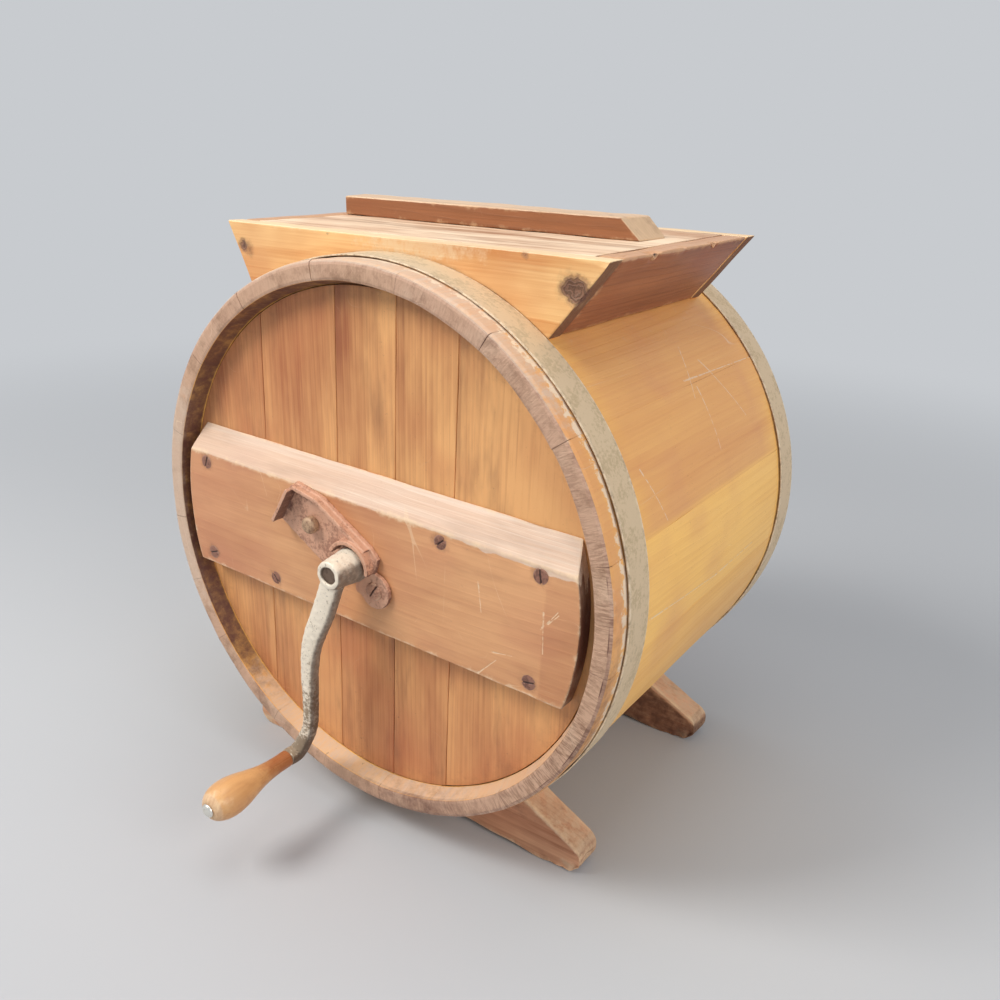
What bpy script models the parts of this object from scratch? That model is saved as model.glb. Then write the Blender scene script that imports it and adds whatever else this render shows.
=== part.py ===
"""Hand-cranked cylinder butter churn of cedar staves, as separate pieces at real size.

Metres, +Z up. The barrel lies along Y with the crank on the head that faces -Y.
Below, pieces are drawn in barrel places: Y from the front edge of the staves, X and Z
from the barrel's own axis. place() moves them so that the churn stands on Z = 0 with
the middle of its whole length at Y = 0.
"""
import math

import bmesh
import bpy
from mathutils import Vector

# Clearances
FIT_GAP = 0.0003
RUN_GAP = 0.0005
CUT_OVERRUN = 0.004

# Staves
STAVE_LENGTH = 0.304
BARREL_RADIUS = 0.1982
STAVE_THICKNESS = 0.0165
STAVE_EDGE_ROUND = 0.0016
CHIME_FLARE = 0.0028
CROZE_DEPTH = 0.005
CROZE_SETBACK = 0.0042
STAVE_WIDTH_SHARES = (
    21.9, 21.9, 21.0, 21.2, 22.2, 21.1, 20.6, 21.7, 16.0,
    15.4, 23.6, 17.0, 17.0, 15.7, 21.0, 21.0, 20.7, 21.0,
)
FIRST_JOINT_DEGREES = 14.0
MOUTH_STAVES = (3, 4, 5)
STAVE_FACET_DEGREES = 5.5

# Heads
HEAD_INSET = 0.0142
HEAD_THICKNESS = 0.017
TONGUE_THICKNESS = 0.008
HEAD_TURN_DEGREES = 1.3
FRONT_SEAM_SHARES = (-0.56, -0.168, 0.119, 0.39)
REAR_SEAM_SHARES = (-0.38, 0.3)
HEAD_FACETS = 72

# Hoops
HOOP_WIDTH = 0.0255
HOOP_THICKNESS = 0.001
FRONT_HOOP_INSET = 0.0162
REAR_HOOP_INSET = 0.0028
HOOP_FACETS = 96
LAP_DEGREES = 13.0
LAP_AT_DEGREES = 204.0
LAP_THICKNESS = 0.0009
LAP_MARGIN = 0.0012

# Cross batten on the front head
BATTEN_THICKNESS = 0.0132
BATTEN_RISE = 0.0386
BATTEN_DROP = 0.0528
BATTEN_BEVEL_RISE = 0.0199
BATTEN_BEVEL_LIP = 0.0012
BATTEN_END_GAP = 0.0062
BATTEN_SCREW_SHARES = (
    (-0.879, 0.92), (-0.871, 0.103), (-0.472, 0.103), (0.402, 0.92), (0.832, 0.925), (0.812, 0.103),
)
SCREW_HEAD_RADIUS = 0.0056
SCREW_HEAD_HEIGHT = 0.0016
SCREW_SHANK_RADIUS = 0.0022
SCREW_RIM_SHARES = ((0.9, 0.0), (1.0, 0.3), (1.0, 1.0))
BATTEN_SCREW_LENGTH = 0.024

# Shaft and crank
SHAFT_DROP = 0.004
NECK_RADIUS = 0.006
JOURNAL_RADIUS = 0.009
SHAFT_RECESS = 0.0014
SQUARE_SIDE = 0.0124
SQUARE_LENGTH = 0.022
HUB_LENGTH = 0.0255
HUB_BASE_RADIUS = 0.0126
HUB_END_RADIUS = 0.0102
HUB_END_ROUND = 0.0012
HUB_BASE_LENGTH = 0.0045
ARM_FROM_HUB_END = 0.0082
ARM_THICKNESS = 0.0108
ARM_ROOT_WIDTH = 0.0172
CRANK_SWAY = 0.0453
CRANK_DROP = 0.162
ARM_ROOT_INSET = 0.0085
ARM_PATH_SHARES = (
    (0.30, 0.215), (0.565, 0.385), (0.655, 0.53), (0.675, 0.70), (0.715, 0.83), (0.87, 0.93),
)
ARM_WIDTH_SHARES = (1.0, 1.02, 0.90, 0.74, 0.62, 0.60, 0.66, 0.74, 0.74, 0.74)
ELBOW_LENGTH = 0.0125
ELBOW_RUN_SHARES = (0.22, 0.72, 1.0)
ARM_SIDES = 12
ARM_STEPS = 4

# Grip
GRIP_LENGTH = 0.0722
GRIP_RADIUS = 0.0137
GRIP_BORE_GAP = 0.0003
GRIP_PROFILE_SHARES = (
    (0.0, 0.43), (0.02, 0.46), (0.18, 0.47), (0.34, 0.55), (0.48, 0.71),
    (0.62, 0.90), (0.75, 1.0), (0.86, 0.96), (0.94, 0.80), (0.985, 0.60), (1.0, 0.45),
)
SPINDLE_RADIUS = 0.0032
CAP_RADIUS = 0.0050
CAP_HEIGHT = 0.0026
CAP_DOME_SHARES = ((1.0, 0.0), (0.92, 0.5), (0.6, 0.9), (0.0, 1.0))

# Latch plate that keeps the crank in
LATCH_THICKNESS = 0.0033
PIVOT_OFFSET = 0.0176
PIVOT_DROP = 0.0161
LATCH_DEGREES = 149.0
LATCH_LENGTH = 0.0935
LATCH_UPPER_WIDTH = 0.0252
LATCH_LOWER_WIDTH = 0.0176
LATCH_NOSE_RADIUS = 0.013
LATCH_NOSE_DEGREES = (62.0, 300.0)
LATCH_HOOK_DEGREES = -46.0
LATCH_SLOT_GAP = 0.0008
LATCH_TOE_SHARE = 0.7
LATCH_RIB_SHARES = (0.75, 0.2)
LATCH_NECK_SHARES = (0.1, 0.9)
LATCH_RIB_WIDTH = 0.004
LATCH_RIB_HEIGHT = 0.0052
LATCH_EAR_WIDTH = 0.0034
LATCH_EAR_HEIGHT = 0.0094
COLLAR_GAP = 0.003
COLLAR_WIDTH = 0.003
COLLAR_HEIGHT = 0.0078
COLLAR_START_DEGREES = -8.0
COLLAR_END_DEGREES = 152.0
RIB_SINK = 0.0008
PIVOT_HEAD_RADIUS = 0.0066
PIVOT_HEAD_HEIGHT = 0.002
PIVOT_RIM_SHARES = ((1.0, 0.0), (1.0, 0.7), (0.9, 1.0))
PIVOT_SHANK_RADIUS = 0.0031
PIVOT_SHANK_LENGTH = 0.014
SLOT_WIDTH = 0.0013
SLOT_DEPTH = 0.0009
SLOT_TURN_DEGREES = -58.0
THUMB_ALONG_SHARE = 0.705
THUMB_ACROSS_SHARE = 0.08
THUMB_HEAD_RADIUS = 0.0069
THUMB_HEAD_HEIGHT = 0.0072
THUMB_SHANK_RADIUS = 0.003
THUMB_DOME_SHARES = ((1.0, 0.0), (1.0, 0.55), (0.88, 0.8), (0.6, 0.95), (0.0, 1.0))

# Dasher
DASHER_HUB_HALF = 0.02
DASHER_FRONT_GAP = 0.002
DASHER_REAR_GAP = 0.0008
DASHER_TIP_GAP = 0.0367
BLADE_THICKNESS = 0.012
BLADE_SETBACK = 0.022
BLADE_TENON = 0.006
BLADE_HOLE_RADIUS = 0.012
BLADE_HOLE_ROW_SHARES = (0.27, 0.72)
BLADE_HOLES_PER_ROW = 4
BLADE_TURN_DEGREES = 45.0

# Rear pivot
PIVOT_FLANGE_RADIUS = 0.033
PIVOT_FLANGE_THICKNESS = 0.003
PIVOT_PIN_RADIUS = 0.006
PIVOT_PIN_LENGTH = 0.018

# Hopper
HOPPER_HOOP_GAP = 0.0008
HOPPER_REAR_GAP = 0.0137
HOPPER_CREST = 0.0104
HOPPER_TOP_SHARE = 0.7987
HOPPER_RIGHT_FOOT_SHARE = 0.5989
HOPPER_LEFT_FOOT_SHARE = 0.6544
HOPPER_BOARD = 0.014
HOPPER_ARC_STEPS = 20

# Lid
LID_THICKNESS = 0.015
LID_GAP = 0.0006
BAR_WIDTH = 0.036
BAR_THICKNESS = 0.0142
BAR_BACKSET = 0.0138
BAR_LEFT_SHARE = 0.894
BAR_RIGHT_SHARE = 0.7675
BAR_END_BEVEL = 0.016
BAR_END_SKEW = 0.004
BAR_LEFT_SKEW = 0.012

# Feet
FOOT_THICKNESS = 0.025
FOOT_FRONT_GAP = 0.0036
FOOT_REAR_GAP = 0.0062
FOOT_BELOW_BARREL = 0.0253
FOOT_SHARE = 0.83
FOOT_SHOULDER_SHARE = 0.5146
FOOT_NOSE_RADIUS = 0.013
FOOT_PAD = 0.026
FOOT_ARCH = 0.0034
FOOT_ARC_STEPS = 16
FOOT_NOSE_STEPS = 5
FOOT_ARCH_STEPS = 8

ROUND_SIDES = 24
SMALL_SIDES = 12
BLADE_HOLE_SIDES = 14

# Places worked out from the sizes above
INNER_RADIUS = BARREL_RADIUS - STAVE_THICKNESS
BATTEN_END_RADIUS = INNER_RADIUS - BATTEN_END_GAP
DASHER_REACH = INNER_RADIUS - DASHER_TIP_GAP
HOPPER_RISE = BARREL_RADIUS + HOPPER_CREST
HOPPER_TOP_HALF = BARREL_RADIUS * HOPPER_TOP_SHARE
HOPPER_RIGHT_FOOT = BARREL_RADIUS * HOPPER_RIGHT_FOOT_SHARE
HOPPER_LEFT_FOOT = BARREL_RADIUS * HOPPER_LEFT_FOOT_SHARE
FOOT_DROP = BARREL_RADIUS + FOOT_BELOW_BARREL
FOOT_HALF = BARREL_RADIUS * FOOT_SHARE
FOOT_SHOULDER_HALF = BARREL_RADIUS * FOOT_SHOULDER_SHARE
BAR_LEFT = HOPPER_TOP_HALF * BAR_LEFT_SHARE
BAR_RIGHT = HOPPER_TOP_HALF * BAR_RIGHT_SHARE
CHIME_RADIUS = INNER_RADIUS + CHIME_FLARE
CROZE_START = HEAD_INSET + CROZE_SETBACK
CROZE_STOP = CROZE_START + TONGUE_THICKNESS
FRONT_HEAD_BACK = HEAD_INSET + HEAD_THICKNESS
REAR_HEAD_FACE = STAVE_LENGTH - FRONT_HEAD_BACK
FRONT_HOOP_END = FRONT_HOOP_INSET + HOOP_WIDTH
REAR_HOOP_END = STAVE_LENGTH - REAR_HOOP_INSET
HOOP_INNER_RADIUS = (BARREL_RADIUS + FIT_GAP) / math.cos(math.pi / HOOP_FACETS)
HOOP_OUTER_RADIUS = HOOP_INNER_RADIUS + HOOP_THICKNESS
BATTEN_FACE = HEAD_INSET - FIT_GAP - BATTEN_THICKNESS
LATCH_BACK = BATTEN_FACE - FIT_GAP
LATCH_FACE = LATCH_BACK - LATCH_THICKNESS
HUB_BASE = LATCH_FACE - RUN_GAP
HUB_END = HUB_BASE - HUB_LENGTH
ARM_PLANE = HUB_END + ARM_FROM_HUB_END
ELBOW_END = ARM_PLANE - ELBOW_LENGTH
GRIP_START = ELBOW_END - RUN_GAP
GRIP_END = GRIP_START - GRIP_LENGTH
CAP_BASE = GRIP_END - FIT_GAP
CAP_END = CAP_BASE - CAP_HEIGHT
HOPPER_FRONT = FRONT_HOOP_END + HOPPER_HOOP_GAP
HOPPER_REAR = REAR_HOOP_END - HOOP_WIDTH - HOPPER_REAR_GAP
MOUTH_FRONT = HOPPER_FRONT + HOPPER_BOARD
MOUTH_REAR = HOPPER_REAR - HOPPER_BOARD
FRONT_FOOT_START = FRONT_HOOP_END + FOOT_FRONT_GAP
REAR_FOOT_START = REAR_HOOP_END - HOOP_WIDTH - FOOT_REAR_GAP - FOOT_THICKNESS
DASHER_FRONT = FRONT_HEAD_BACK + DASHER_FRONT_GAP
DASHER_REAR = REAR_HEAD_FACE - FIT_GAP - PIVOT_FLANGE_THICKNESS - DASHER_REAR_GAP
SHAFT_AXIS = Vector((0.0, 0.0, -SHAFT_DROP))
LATCH_PIVOT = SHAFT_AXIS + Vector((PIVOT_OFFSET, 0.0, -PIVOT_DROP))
GRIP_AXIS = SHAFT_AXIS + Vector((-CRANK_SWAY, 0.0, -CRANK_DROP))
FRAME_ORIGIN = Vector((0.0, (CAP_END + STAVE_LENGTH) / 2, -FOOT_DROP))

STAVE_TONES = ((0.60, 0.33, 0.13), (0.66, 0.38, 0.16), (0.56, 0.30, 0.12))
HEAD_TONES = ((0.56, 0.28, 0.11), (0.62, 0.33, 0.14), (0.58, 0.30, 0.12))
BATTEN_COLOUR = (0.52, 0.29, 0.17)
HOPPER_COLOUR = (0.68, 0.42, 0.17)
HOPPER_SIDE_COLOUR = (0.48, 0.24, 0.11)
LID_COLOUR = (0.66, 0.50, 0.36)
FOOT_COLOUR = (0.50, 0.29, 0.16)
GALVANISED_COLOUR = (0.52, 0.50, 0.40)
RUST_COLOUR = (0.36, 0.22, 0.17)
IRON_COLOUR = (0.50, 0.48, 0.42)
SCREW_COLOUR = (0.24, 0.17, 0.13)
MAPLE_COLOUR = (0.66, 0.36, 0.15)
CAP_COLOUR = (0.72, 0.72, 0.70)
DASHER_COLOUR = (0.58, 0.42, 0.26)


def clear_scene():
    """Remove whatever the file opened with."""
    for item in list(bpy.data.objects):
        bpy.data.objects.remove(item, do_unlink=True)


def finish(name, colour, roughness, metallic=0.0):
    """Principled material of one colour."""
    material = bpy.data.materials.new(name)
    material.use_nodes = True
    shader = material.node_tree.nodes["Principled BSDF"]
    shader.inputs["Base Color"].default_value = (*colour, 1.0)
    shader.inputs["Roughness"].default_value = roughness
    shader.inputs["Metallic"].default_value = metallic
    return material


def place(point):
    """Turn a barrel place into a world place."""
    return Vector(point) - FRAME_ORIGIN


def add_empty(name, point):
    """Mark a joint axis with an empty at a barrel place."""
    empty = bpy.data.objects.new(name, None)
    empty.location = place(point)
    bpy.context.scene.collection.objects.link(empty)
    return empty


def add_piece(name, shape, material=None, origin=(0.0, 0.0, 0.0), parent=None, turn=0.0, smooth=False):
    """Make an object from a bmesh drawn in barrel places.

    origin is the barrel place of the object's own origin, and turn is its rotation in
    degrees about an axis along Y through that origin.
    """
    bmesh.ops.recalc_face_normals(shape, faces=shape.faces)
    bmesh.ops.translate(shape, verts=shape.verts, vec=-Vector(origin))
    mesh = bpy.data.meshes.new(name)
    shape.to_mesh(mesh)
    shape.free()
    if smooth:
        mesh.shade_smooth()
        mesh.set_sharp_from_angle(angle=math.radians(32.0))
    item = bpy.data.objects.new(name, mesh)
    bpy.context.scene.collection.objects.link(item)
    item.rotation_euler = (0.0, math.radians(turn), 0.0)
    if parent is None:
        item.location = place(origin)
    else:
        item.parent = parent
        item.location = place(origin) - parent.location
    if material is None:
        item.hide_render = True
        item.display_type = "WIRE"
    else:
        mesh.materials.append(material)
    return item


def combine(item, other, operation):
    """Leave a live Boolean of another object on an item."""
    modifier = item.modifiers.new(f"{operation.lower()}_{other.name}", "BOOLEAN")
    modifier.operation = operation
    modifier.solver = "EXACT"
    modifier.object = other


def add_rows(shape, rows, closed_rows):
    """Skin rows of points with quads, and cap the ends when the rows don't meet."""
    rings = [[shape.verts.new(point) for point in row] for row in rows]
    count = len(rings[0])
    last = len(rings) if closed_rows else len(rings) - 1
    for index in range(last):
        one = rings[index]
        two = rings[(index + 1) % len(rings)]
        for corner in range(count):
            after = (corner + 1) % count
            shape.faces.new((one[corner], one[after], two[after], two[corner]))
    if not closed_rows:
        shape.faces.new(rings[0])
        shape.faces.new(rings[-1])


def turned_row(profile, angle, centre):
    """Points of an (r, y) profile at one angle about an axis along Y."""
    return [(centre[0] + r * math.cos(angle), y, centre[1] + r * math.sin(angle)) for r, y in profile]


def add_sector(shape, profile, start, stop, steps, centre=(0.0, 0.0)):
    """Turn an (r, y) profile about an axis along Y, from one angle to another."""
    rows = []
    for step in range(steps + 1):
        angle = start + (stop - start) * step / steps
        rows.append(turned_row(profile, angle, centre))
    add_rows(shape, rows, closed_rows=False)


def add_ring(shape, profile, sides, centre=(0.0, 0.0)):
    """Turn an (r, y) profile that keeps off the axis through a full turn."""
    rows = []
    for side in range(sides):
        angle = 2 * math.pi * side / sides
        rows.append(turned_row(profile, angle, centre))
    add_rows(shape, rows, closed_rows=True)


def add_turned(shape, profile, sides, centre, along=(0.0, 1.0, 0.0)):
    """Stack circles of (radius, distance) along an axis; a radius of zero makes a point."""
    axis = Vector(along).normalized()
    side_way = axis.orthogonal().normalized()
    other_way = axis.cross(side_way)
    base = Vector(centre)
    rings = []
    for radius, distance in profile:
        if radius == 0.0:
            rings.append([shape.verts.new(base + axis * distance)])
            continue
        ring = []
        for side in range(sides):
            angle = 2 * math.pi * side / sides
            offset = side_way * (radius * math.cos(angle)) + other_way * (radius * math.sin(angle))
            ring.append(shape.verts.new(base + axis * distance + offset))
        rings.append(ring)
    for one, two in zip(rings, rings[1:]):
        for side in range(sides):
            after = (side + 1) % sides
            if len(one) == 1:
                shape.faces.new((one[0], two[after], two[side]))
            elif len(two) == 1:
                shape.faces.new((one[side], one[after], two[0]))
            else:
                shape.faces.new((one[side], one[after], two[after], two[side]))
    for ring in (rings[0], rings[-1]):
        if len(ring) > 1:
            shape.faces.new(ring)


def add_prism(shape, outline, start, stop):
    """Extrude an (x, z) outline along Y."""
    rows = [[(x, y, z) for x, z in outline] for y in (start, stop)]
    add_rows(shape, rows, closed_rows=False)


def add_box(shape, low, high):
    """Box between two corners."""
    outline = ((low[0], low[2]), (high[0], low[2]), (high[0], high[2]), (low[0], high[2]))
    add_prism(shape, outline, low[1], high[1])


def arc(radius, start, stop, steps, centre=(0.0, 0.0)):
    """Points of an (x, z) arc, both ends included."""
    points = []
    for step in range(steps + 1):
        angle = start + (stop - start) * step / steps
        points.append((centre[0] + radius * math.cos(angle), centre[1] + radius * math.sin(angle)))
    return points


def outside(radius, step):
    """Radius whose chords of one angular step stay outside a radius."""
    return radius / math.cos(step / 2)


def joint_angles():
    """Angles of the joints between staves, in radians, one more than there are staves."""
    total = sum(STAVE_WIDTH_SHARES)
    angles = [math.radians(FIRST_JOINT_DEGREES)]
    for share in STAVE_WIDTH_SHARES:
        angles.append(angles[-1] + 2 * math.pi * share / total)
    return angles


def stave_profile(start, stop, front_chime, rear_chime):
    """(r, y) outline of a stave, with the croze at each end that is a chime."""
    points = []
    if front_chime:
        points.append((CHIME_RADIUS, start))
        points.append((BARREL_RADIUS - STAVE_EDGE_ROUND, start))
        points.append((BARREL_RADIUS, start + STAVE_EDGE_ROUND))
    else:
        points.append((INNER_RADIUS, start))
        points.append((BARREL_RADIUS, start))
    if rear_chime:
        points.append((BARREL_RADIUS, stop - STAVE_EDGE_ROUND))
        points.append((BARREL_RADIUS - STAVE_EDGE_ROUND, stop))
        points.append((CHIME_RADIUS, stop))
        points.append((INNER_RADIUS, stop - HEAD_INSET))
        points += croze_points(stop - CROZE_START + FIT_GAP, stop - CROZE_STOP - FIT_GAP)
    else:
        points.append((BARREL_RADIUS, stop))
        points.append((INNER_RADIUS, stop))
    if front_chime:
        points += croze_points(start + CROZE_STOP + FIT_GAP, start + CROZE_START - FIT_GAP)
        points.append((INNER_RADIUS, start + HEAD_INSET))
    return points


def croze_points(first, second):
    """The four corners of a croze groove."""
    floor = INNER_RADIUS + CROZE_DEPTH
    return [(INNER_RADIUS, first), (floor, first), (floor, second), (INNER_RADIUS, second)]


def make_stave(name, tone, start, stop, front_chime, rear_chime, angles):
    """One stave, or the stub of one, between two joint angles."""
    steps = max(2, round(math.degrees(angles[1] - angles[0]) / STAVE_FACET_DEGREES))
    shape = bmesh.new()
    add_sector(shape, stave_profile(start, stop, front_chime, rear_chime), angles[0], angles[1], steps)
    return add_piece(name, shape, finish(name, tone, 0.5), smooth=True)


def make_staves():
    """A stave between each two joints; those under the hopper are a stub at each end."""
    angles = joint_angles()
    inset = FIT_GAP / (2 * BARREL_RADIUS)
    for index in range(len(STAVE_WIDTH_SHARES)):
        name = f"stave_{index + 1:02d}"
        tone = STAVE_TONES[index % len(STAVE_TONES)]
        between = (angles[index] + inset, angles[index + 1] - inset)
        if index + 1 in MOUTH_STAVES:
            make_stave(f"{name}_front", tone, 0.0, MOUTH_FRONT, True, False, between)
            make_stave(f"{name}_rear", tone, MOUTH_REAR, STAVE_LENGTH, False, True, between)
        else:
            make_stave(name, tone, 0.0, STAVE_LENGTH, True, True, between)


def head_disc(face, back):
    """Whole head as a disc with a thinner tongue round its edge."""
    inner = INNER_RADIUS - RUN_GAP
    tongue = INNER_RADIUS + CROZE_DEPTH - RUN_GAP
    way = 1.0 if back > face else -1.0
    profile = (
        (0.0, face),
        (inner, face),
        (inner, face + way * CROZE_SETBACK),
        (tongue, face + way * CROZE_SETBACK),
        (tongue, face + way * (CROZE_SETBACK + TONGUE_THICKNESS)),
        (inner, face + way * (CROZE_SETBACK + TONGUE_THICKNESS)),
        (inner, back),
        (0.0, back),
    )
    shape = bmesh.new()
    add_turned(shape, profile, HEAD_FACETS, (0.0, 0.0, 0.0))
    return shape


def make_head(prefix, face, back, seam_shares, turn):
    """Boards of a head, each the head's disc cut to its own strip."""
    limit = INNER_RADIUS + CROZE_DEPTH + CUT_OVERRUN
    edges = [-limit] + [share * INNER_RADIUS for share in seam_shares] + [limit]
    boards = []
    for index in range(len(edges) - 1):
        name = f"{prefix}_head_board_{index + 1}"
        tone = HEAD_TONES[index % len(HEAD_TONES)]
        board = add_piece(name, head_disc(face, back), finish(name, tone, 0.55), turn=turn)
        strip = bmesh.new()
        low = (edges[index] + FIT_GAP / 2, min(face, back) - CUT_OVERRUN, -limit)
        high = (edges[index + 1] - FIT_GAP / 2, max(face, back) + CUT_OVERRUN, limit)
        add_box(strip, low, high)
        combine(board, add_piece(f"{name}_strip", strip, turn=turn), "INTERSECT")
        boards.append(board)
    return boards


def make_hoop(name, start):
    """Flat galvanised hoop with its lap."""
    shape = bmesh.new()
    profile = (
        (HOOP_INNER_RADIUS, start),
        (HOOP_OUTER_RADIUS, start),
        (HOOP_OUTER_RADIUS, start + HOOP_WIDTH),
        (HOOP_INNER_RADIUS, start + HOOP_WIDTH),
    )
    add_ring(shape, profile, HOOP_FACETS)
    hoop = add_piece(name, shape, finish(name, GALVANISED_COLOUR, 0.55, 0.6), smooth=True)
    lap = bmesh.new()
    low = HOOP_OUTER_RADIUS - HOOP_THICKNESS / 2
    high = HOOP_OUTER_RADIUS + LAP_THICKNESS
    lap_profile = (
        (low, start + LAP_MARGIN),
        (high, start + LAP_MARGIN),
        (high, start + HOOP_WIDTH - LAP_MARGIN),
        (low, start + HOOP_WIDTH - LAP_MARGIN),
    )
    first = math.radians(LAP_AT_DEGREES - LAP_DEGREES / 2)
    last = math.radians(LAP_AT_DEGREES + LAP_DEGREES / 2)
    add_sector(lap, lap_profile, first, last, 4)
    combine(hoop, add_piece(f"{name}_lap", lap), "UNION")
    return hoop


def add_screw(shape, place_at, along, length, head_radius, head_height, shank_radius):
    """Flat-headed screw; along points from the head into the wood."""
    profile = [(r * head_radius, h * head_height) for r, h in SCREW_RIM_SHARES]
    profile += [(shank_radius, head_height), (shank_radius, length)]
    add_turned(shape, profile, SMALL_SIDES, place_at, along)


def add_screw_hole(shape, place_at, along, length, head_radius, head_height, shank_radius):
    """Stepped hole for a screw, open towards the head."""
    profile = (
        (head_radius + FIT_GAP, -CUT_OVERRUN),
        (head_radius + FIT_GAP, head_height + FIT_GAP),
        (shank_radius + FIT_GAP, head_height + FIT_GAP),
        (shank_radius + FIT_GAP, length + FIT_GAP),
    )
    add_turned(shape, profile, SMALL_SIDES, place_at, along)


def make_batten():
    """Cross batten with a broad bevel along its top and ends that follow the chime."""
    face = BATTEN_FACE
    back = HEAD_INSET - FIT_GAP
    reach = BATTEN_END_RADIUS + CUT_OVERRUN
    profile = (
        (face, -BATTEN_DROP),
        (face, BATTEN_RISE),
        (back - BATTEN_BEVEL_LIP, BATTEN_RISE + BATTEN_BEVEL_RISE),
        (back, BATTEN_RISE + BATTEN_BEVEL_RISE),
        (back, -BATTEN_DROP),
    )
    shape = bmesh.new()
    add_rows(shape, [[(x, y, z) for y, z in profile] for x in (-reach, reach)], closed_rows=False)
    batten = add_piece(
        "front_batten", shape, finish("front_batten", BATTEN_COLOUR, 0.5), turn=HEAD_TURN_DEGREES
    )
    ends = bmesh.new()
    around = ((BATTEN_END_RADIUS, face - CUT_OVERRUN), (BATTEN_END_RADIUS, back + CUT_OVERRUN))
    add_turned(ends, around, HEAD_FACETS, (0.0, 0.0, 0.0))
    combine(batten, add_piece("front_batten_ends", ends, turn=HEAD_TURN_DEGREES), "INTERSECT")
    return batten


def make_batten_screws(batten, boards):
    """Screws that hold the batten to the head, sunk flush, with their holes."""
    holes = bmesh.new()
    sizes = (BATTEN_SCREW_LENGTH, SCREW_HEAD_RADIUS, SCREW_HEAD_HEIGHT, SCREW_SHANK_RADIUS)
    inward = (0.0, 1.0, 0.0)
    for number, (across, up) in enumerate(BATTEN_SCREW_SHARES, 1):
        height = -BATTEN_DROP + up * (BATTEN_RISE + BATTEN_DROP)
        spot = (across * BATTEN_END_RADIUS, BATTEN_FACE, height)
        screw = bmesh.new()
        add_screw(screw, spot, inward, *sizes)
        name = f"batten_screw_{number}"
        add_piece(name, screw, finish(name, SCREW_COLOUR, 0.6, 0.8), turn=HEAD_TURN_DEGREES, smooth=True)
        add_screw_hole(holes, spot, inward, *sizes)
    cutter = add_piece("batten_screw_holes", holes, turn=HEAD_TURN_DEGREES)
    for item in [batten] + boards:
        combine(item, cutter, "DIFFERENCE")


def bore_for_shaft(pieces):
    """Open the shaft's way through the batten and the head."""
    hole = bmesh.new()
    radius = JOURNAL_RADIUS + RUN_GAP
    profile = ((radius, BATTEN_FACE - CUT_OVERRUN), (radius, FRONT_HEAD_BACK + CUT_OVERRUN))
    add_turned(hole, profile, ROUND_SIDES, SHAFT_AXIS)
    cutter = add_piece("shaft_way", hole)
    for item in pieces:
        combine(item, cutter, "DIFFERENCE")


def latch_point(along, across):
    """Barrel (x, z) of a place on the latch, from its pivot."""
    angle = math.radians(LATCH_DEGREES)
    x = LATCH_PIVOT.x + along * math.cos(angle) + across * math.sin(angle)
    z = LATCH_PIVOT.z + along * math.sin(angle) - across * math.cos(angle)
    return (x, z)


def latch_outline():
    """Latch outline in (along, across): a plate with a nose and a swept slot for the neck."""
    throw = math.hypot(PIVOT_OFFSET, PIVOT_DROP)
    slot = NECK_RADIUS + LATCH_SLOT_GAP
    shaft_angle = math.radians(LATCH_DEGREES) - math.atan2(PIVOT_DROP, -PIVOT_OFFSET)
    far = throw + slot
    near = throw - slot
    mouth_angle = -math.asin(LATCH_LOWER_WIDTH / far)
    points = [(LATCH_LENGTH, -LATCH_LOWER_WIDTH), (LATCH_LENGTH, LATCH_TOE_SHARE * LATCH_UPPER_WIDTH)]
    points += [(share * LATCH_LENGTH, LATCH_UPPER_WIDTH) for share in LATCH_RIB_SHARES]
    points.append((LATCH_NECK_SHARES[0] * LATCH_LENGTH, LATCH_NECK_SHARES[1] * LATCH_UPPER_WIDTH))
    nose_start, nose_stop = [math.radians(angle) for angle in LATCH_NOSE_DEGREES]
    points += arc(LATCH_NOSE_RADIUS, nose_start, nose_stop, 10)
    points += arc(near, math.radians(LATCH_HOOK_DEGREES), shaft_angle, 4)
    centre = (throw * math.cos(shaft_angle), throw * math.sin(shaft_angle))
    closed_end = arc(slot, shaft_angle + math.pi, shaft_angle, 6, centre)
    points += closed_end[1:-1]
    points += arc(far, shaft_angle, mouth_angle, 5)
    return points


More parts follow.
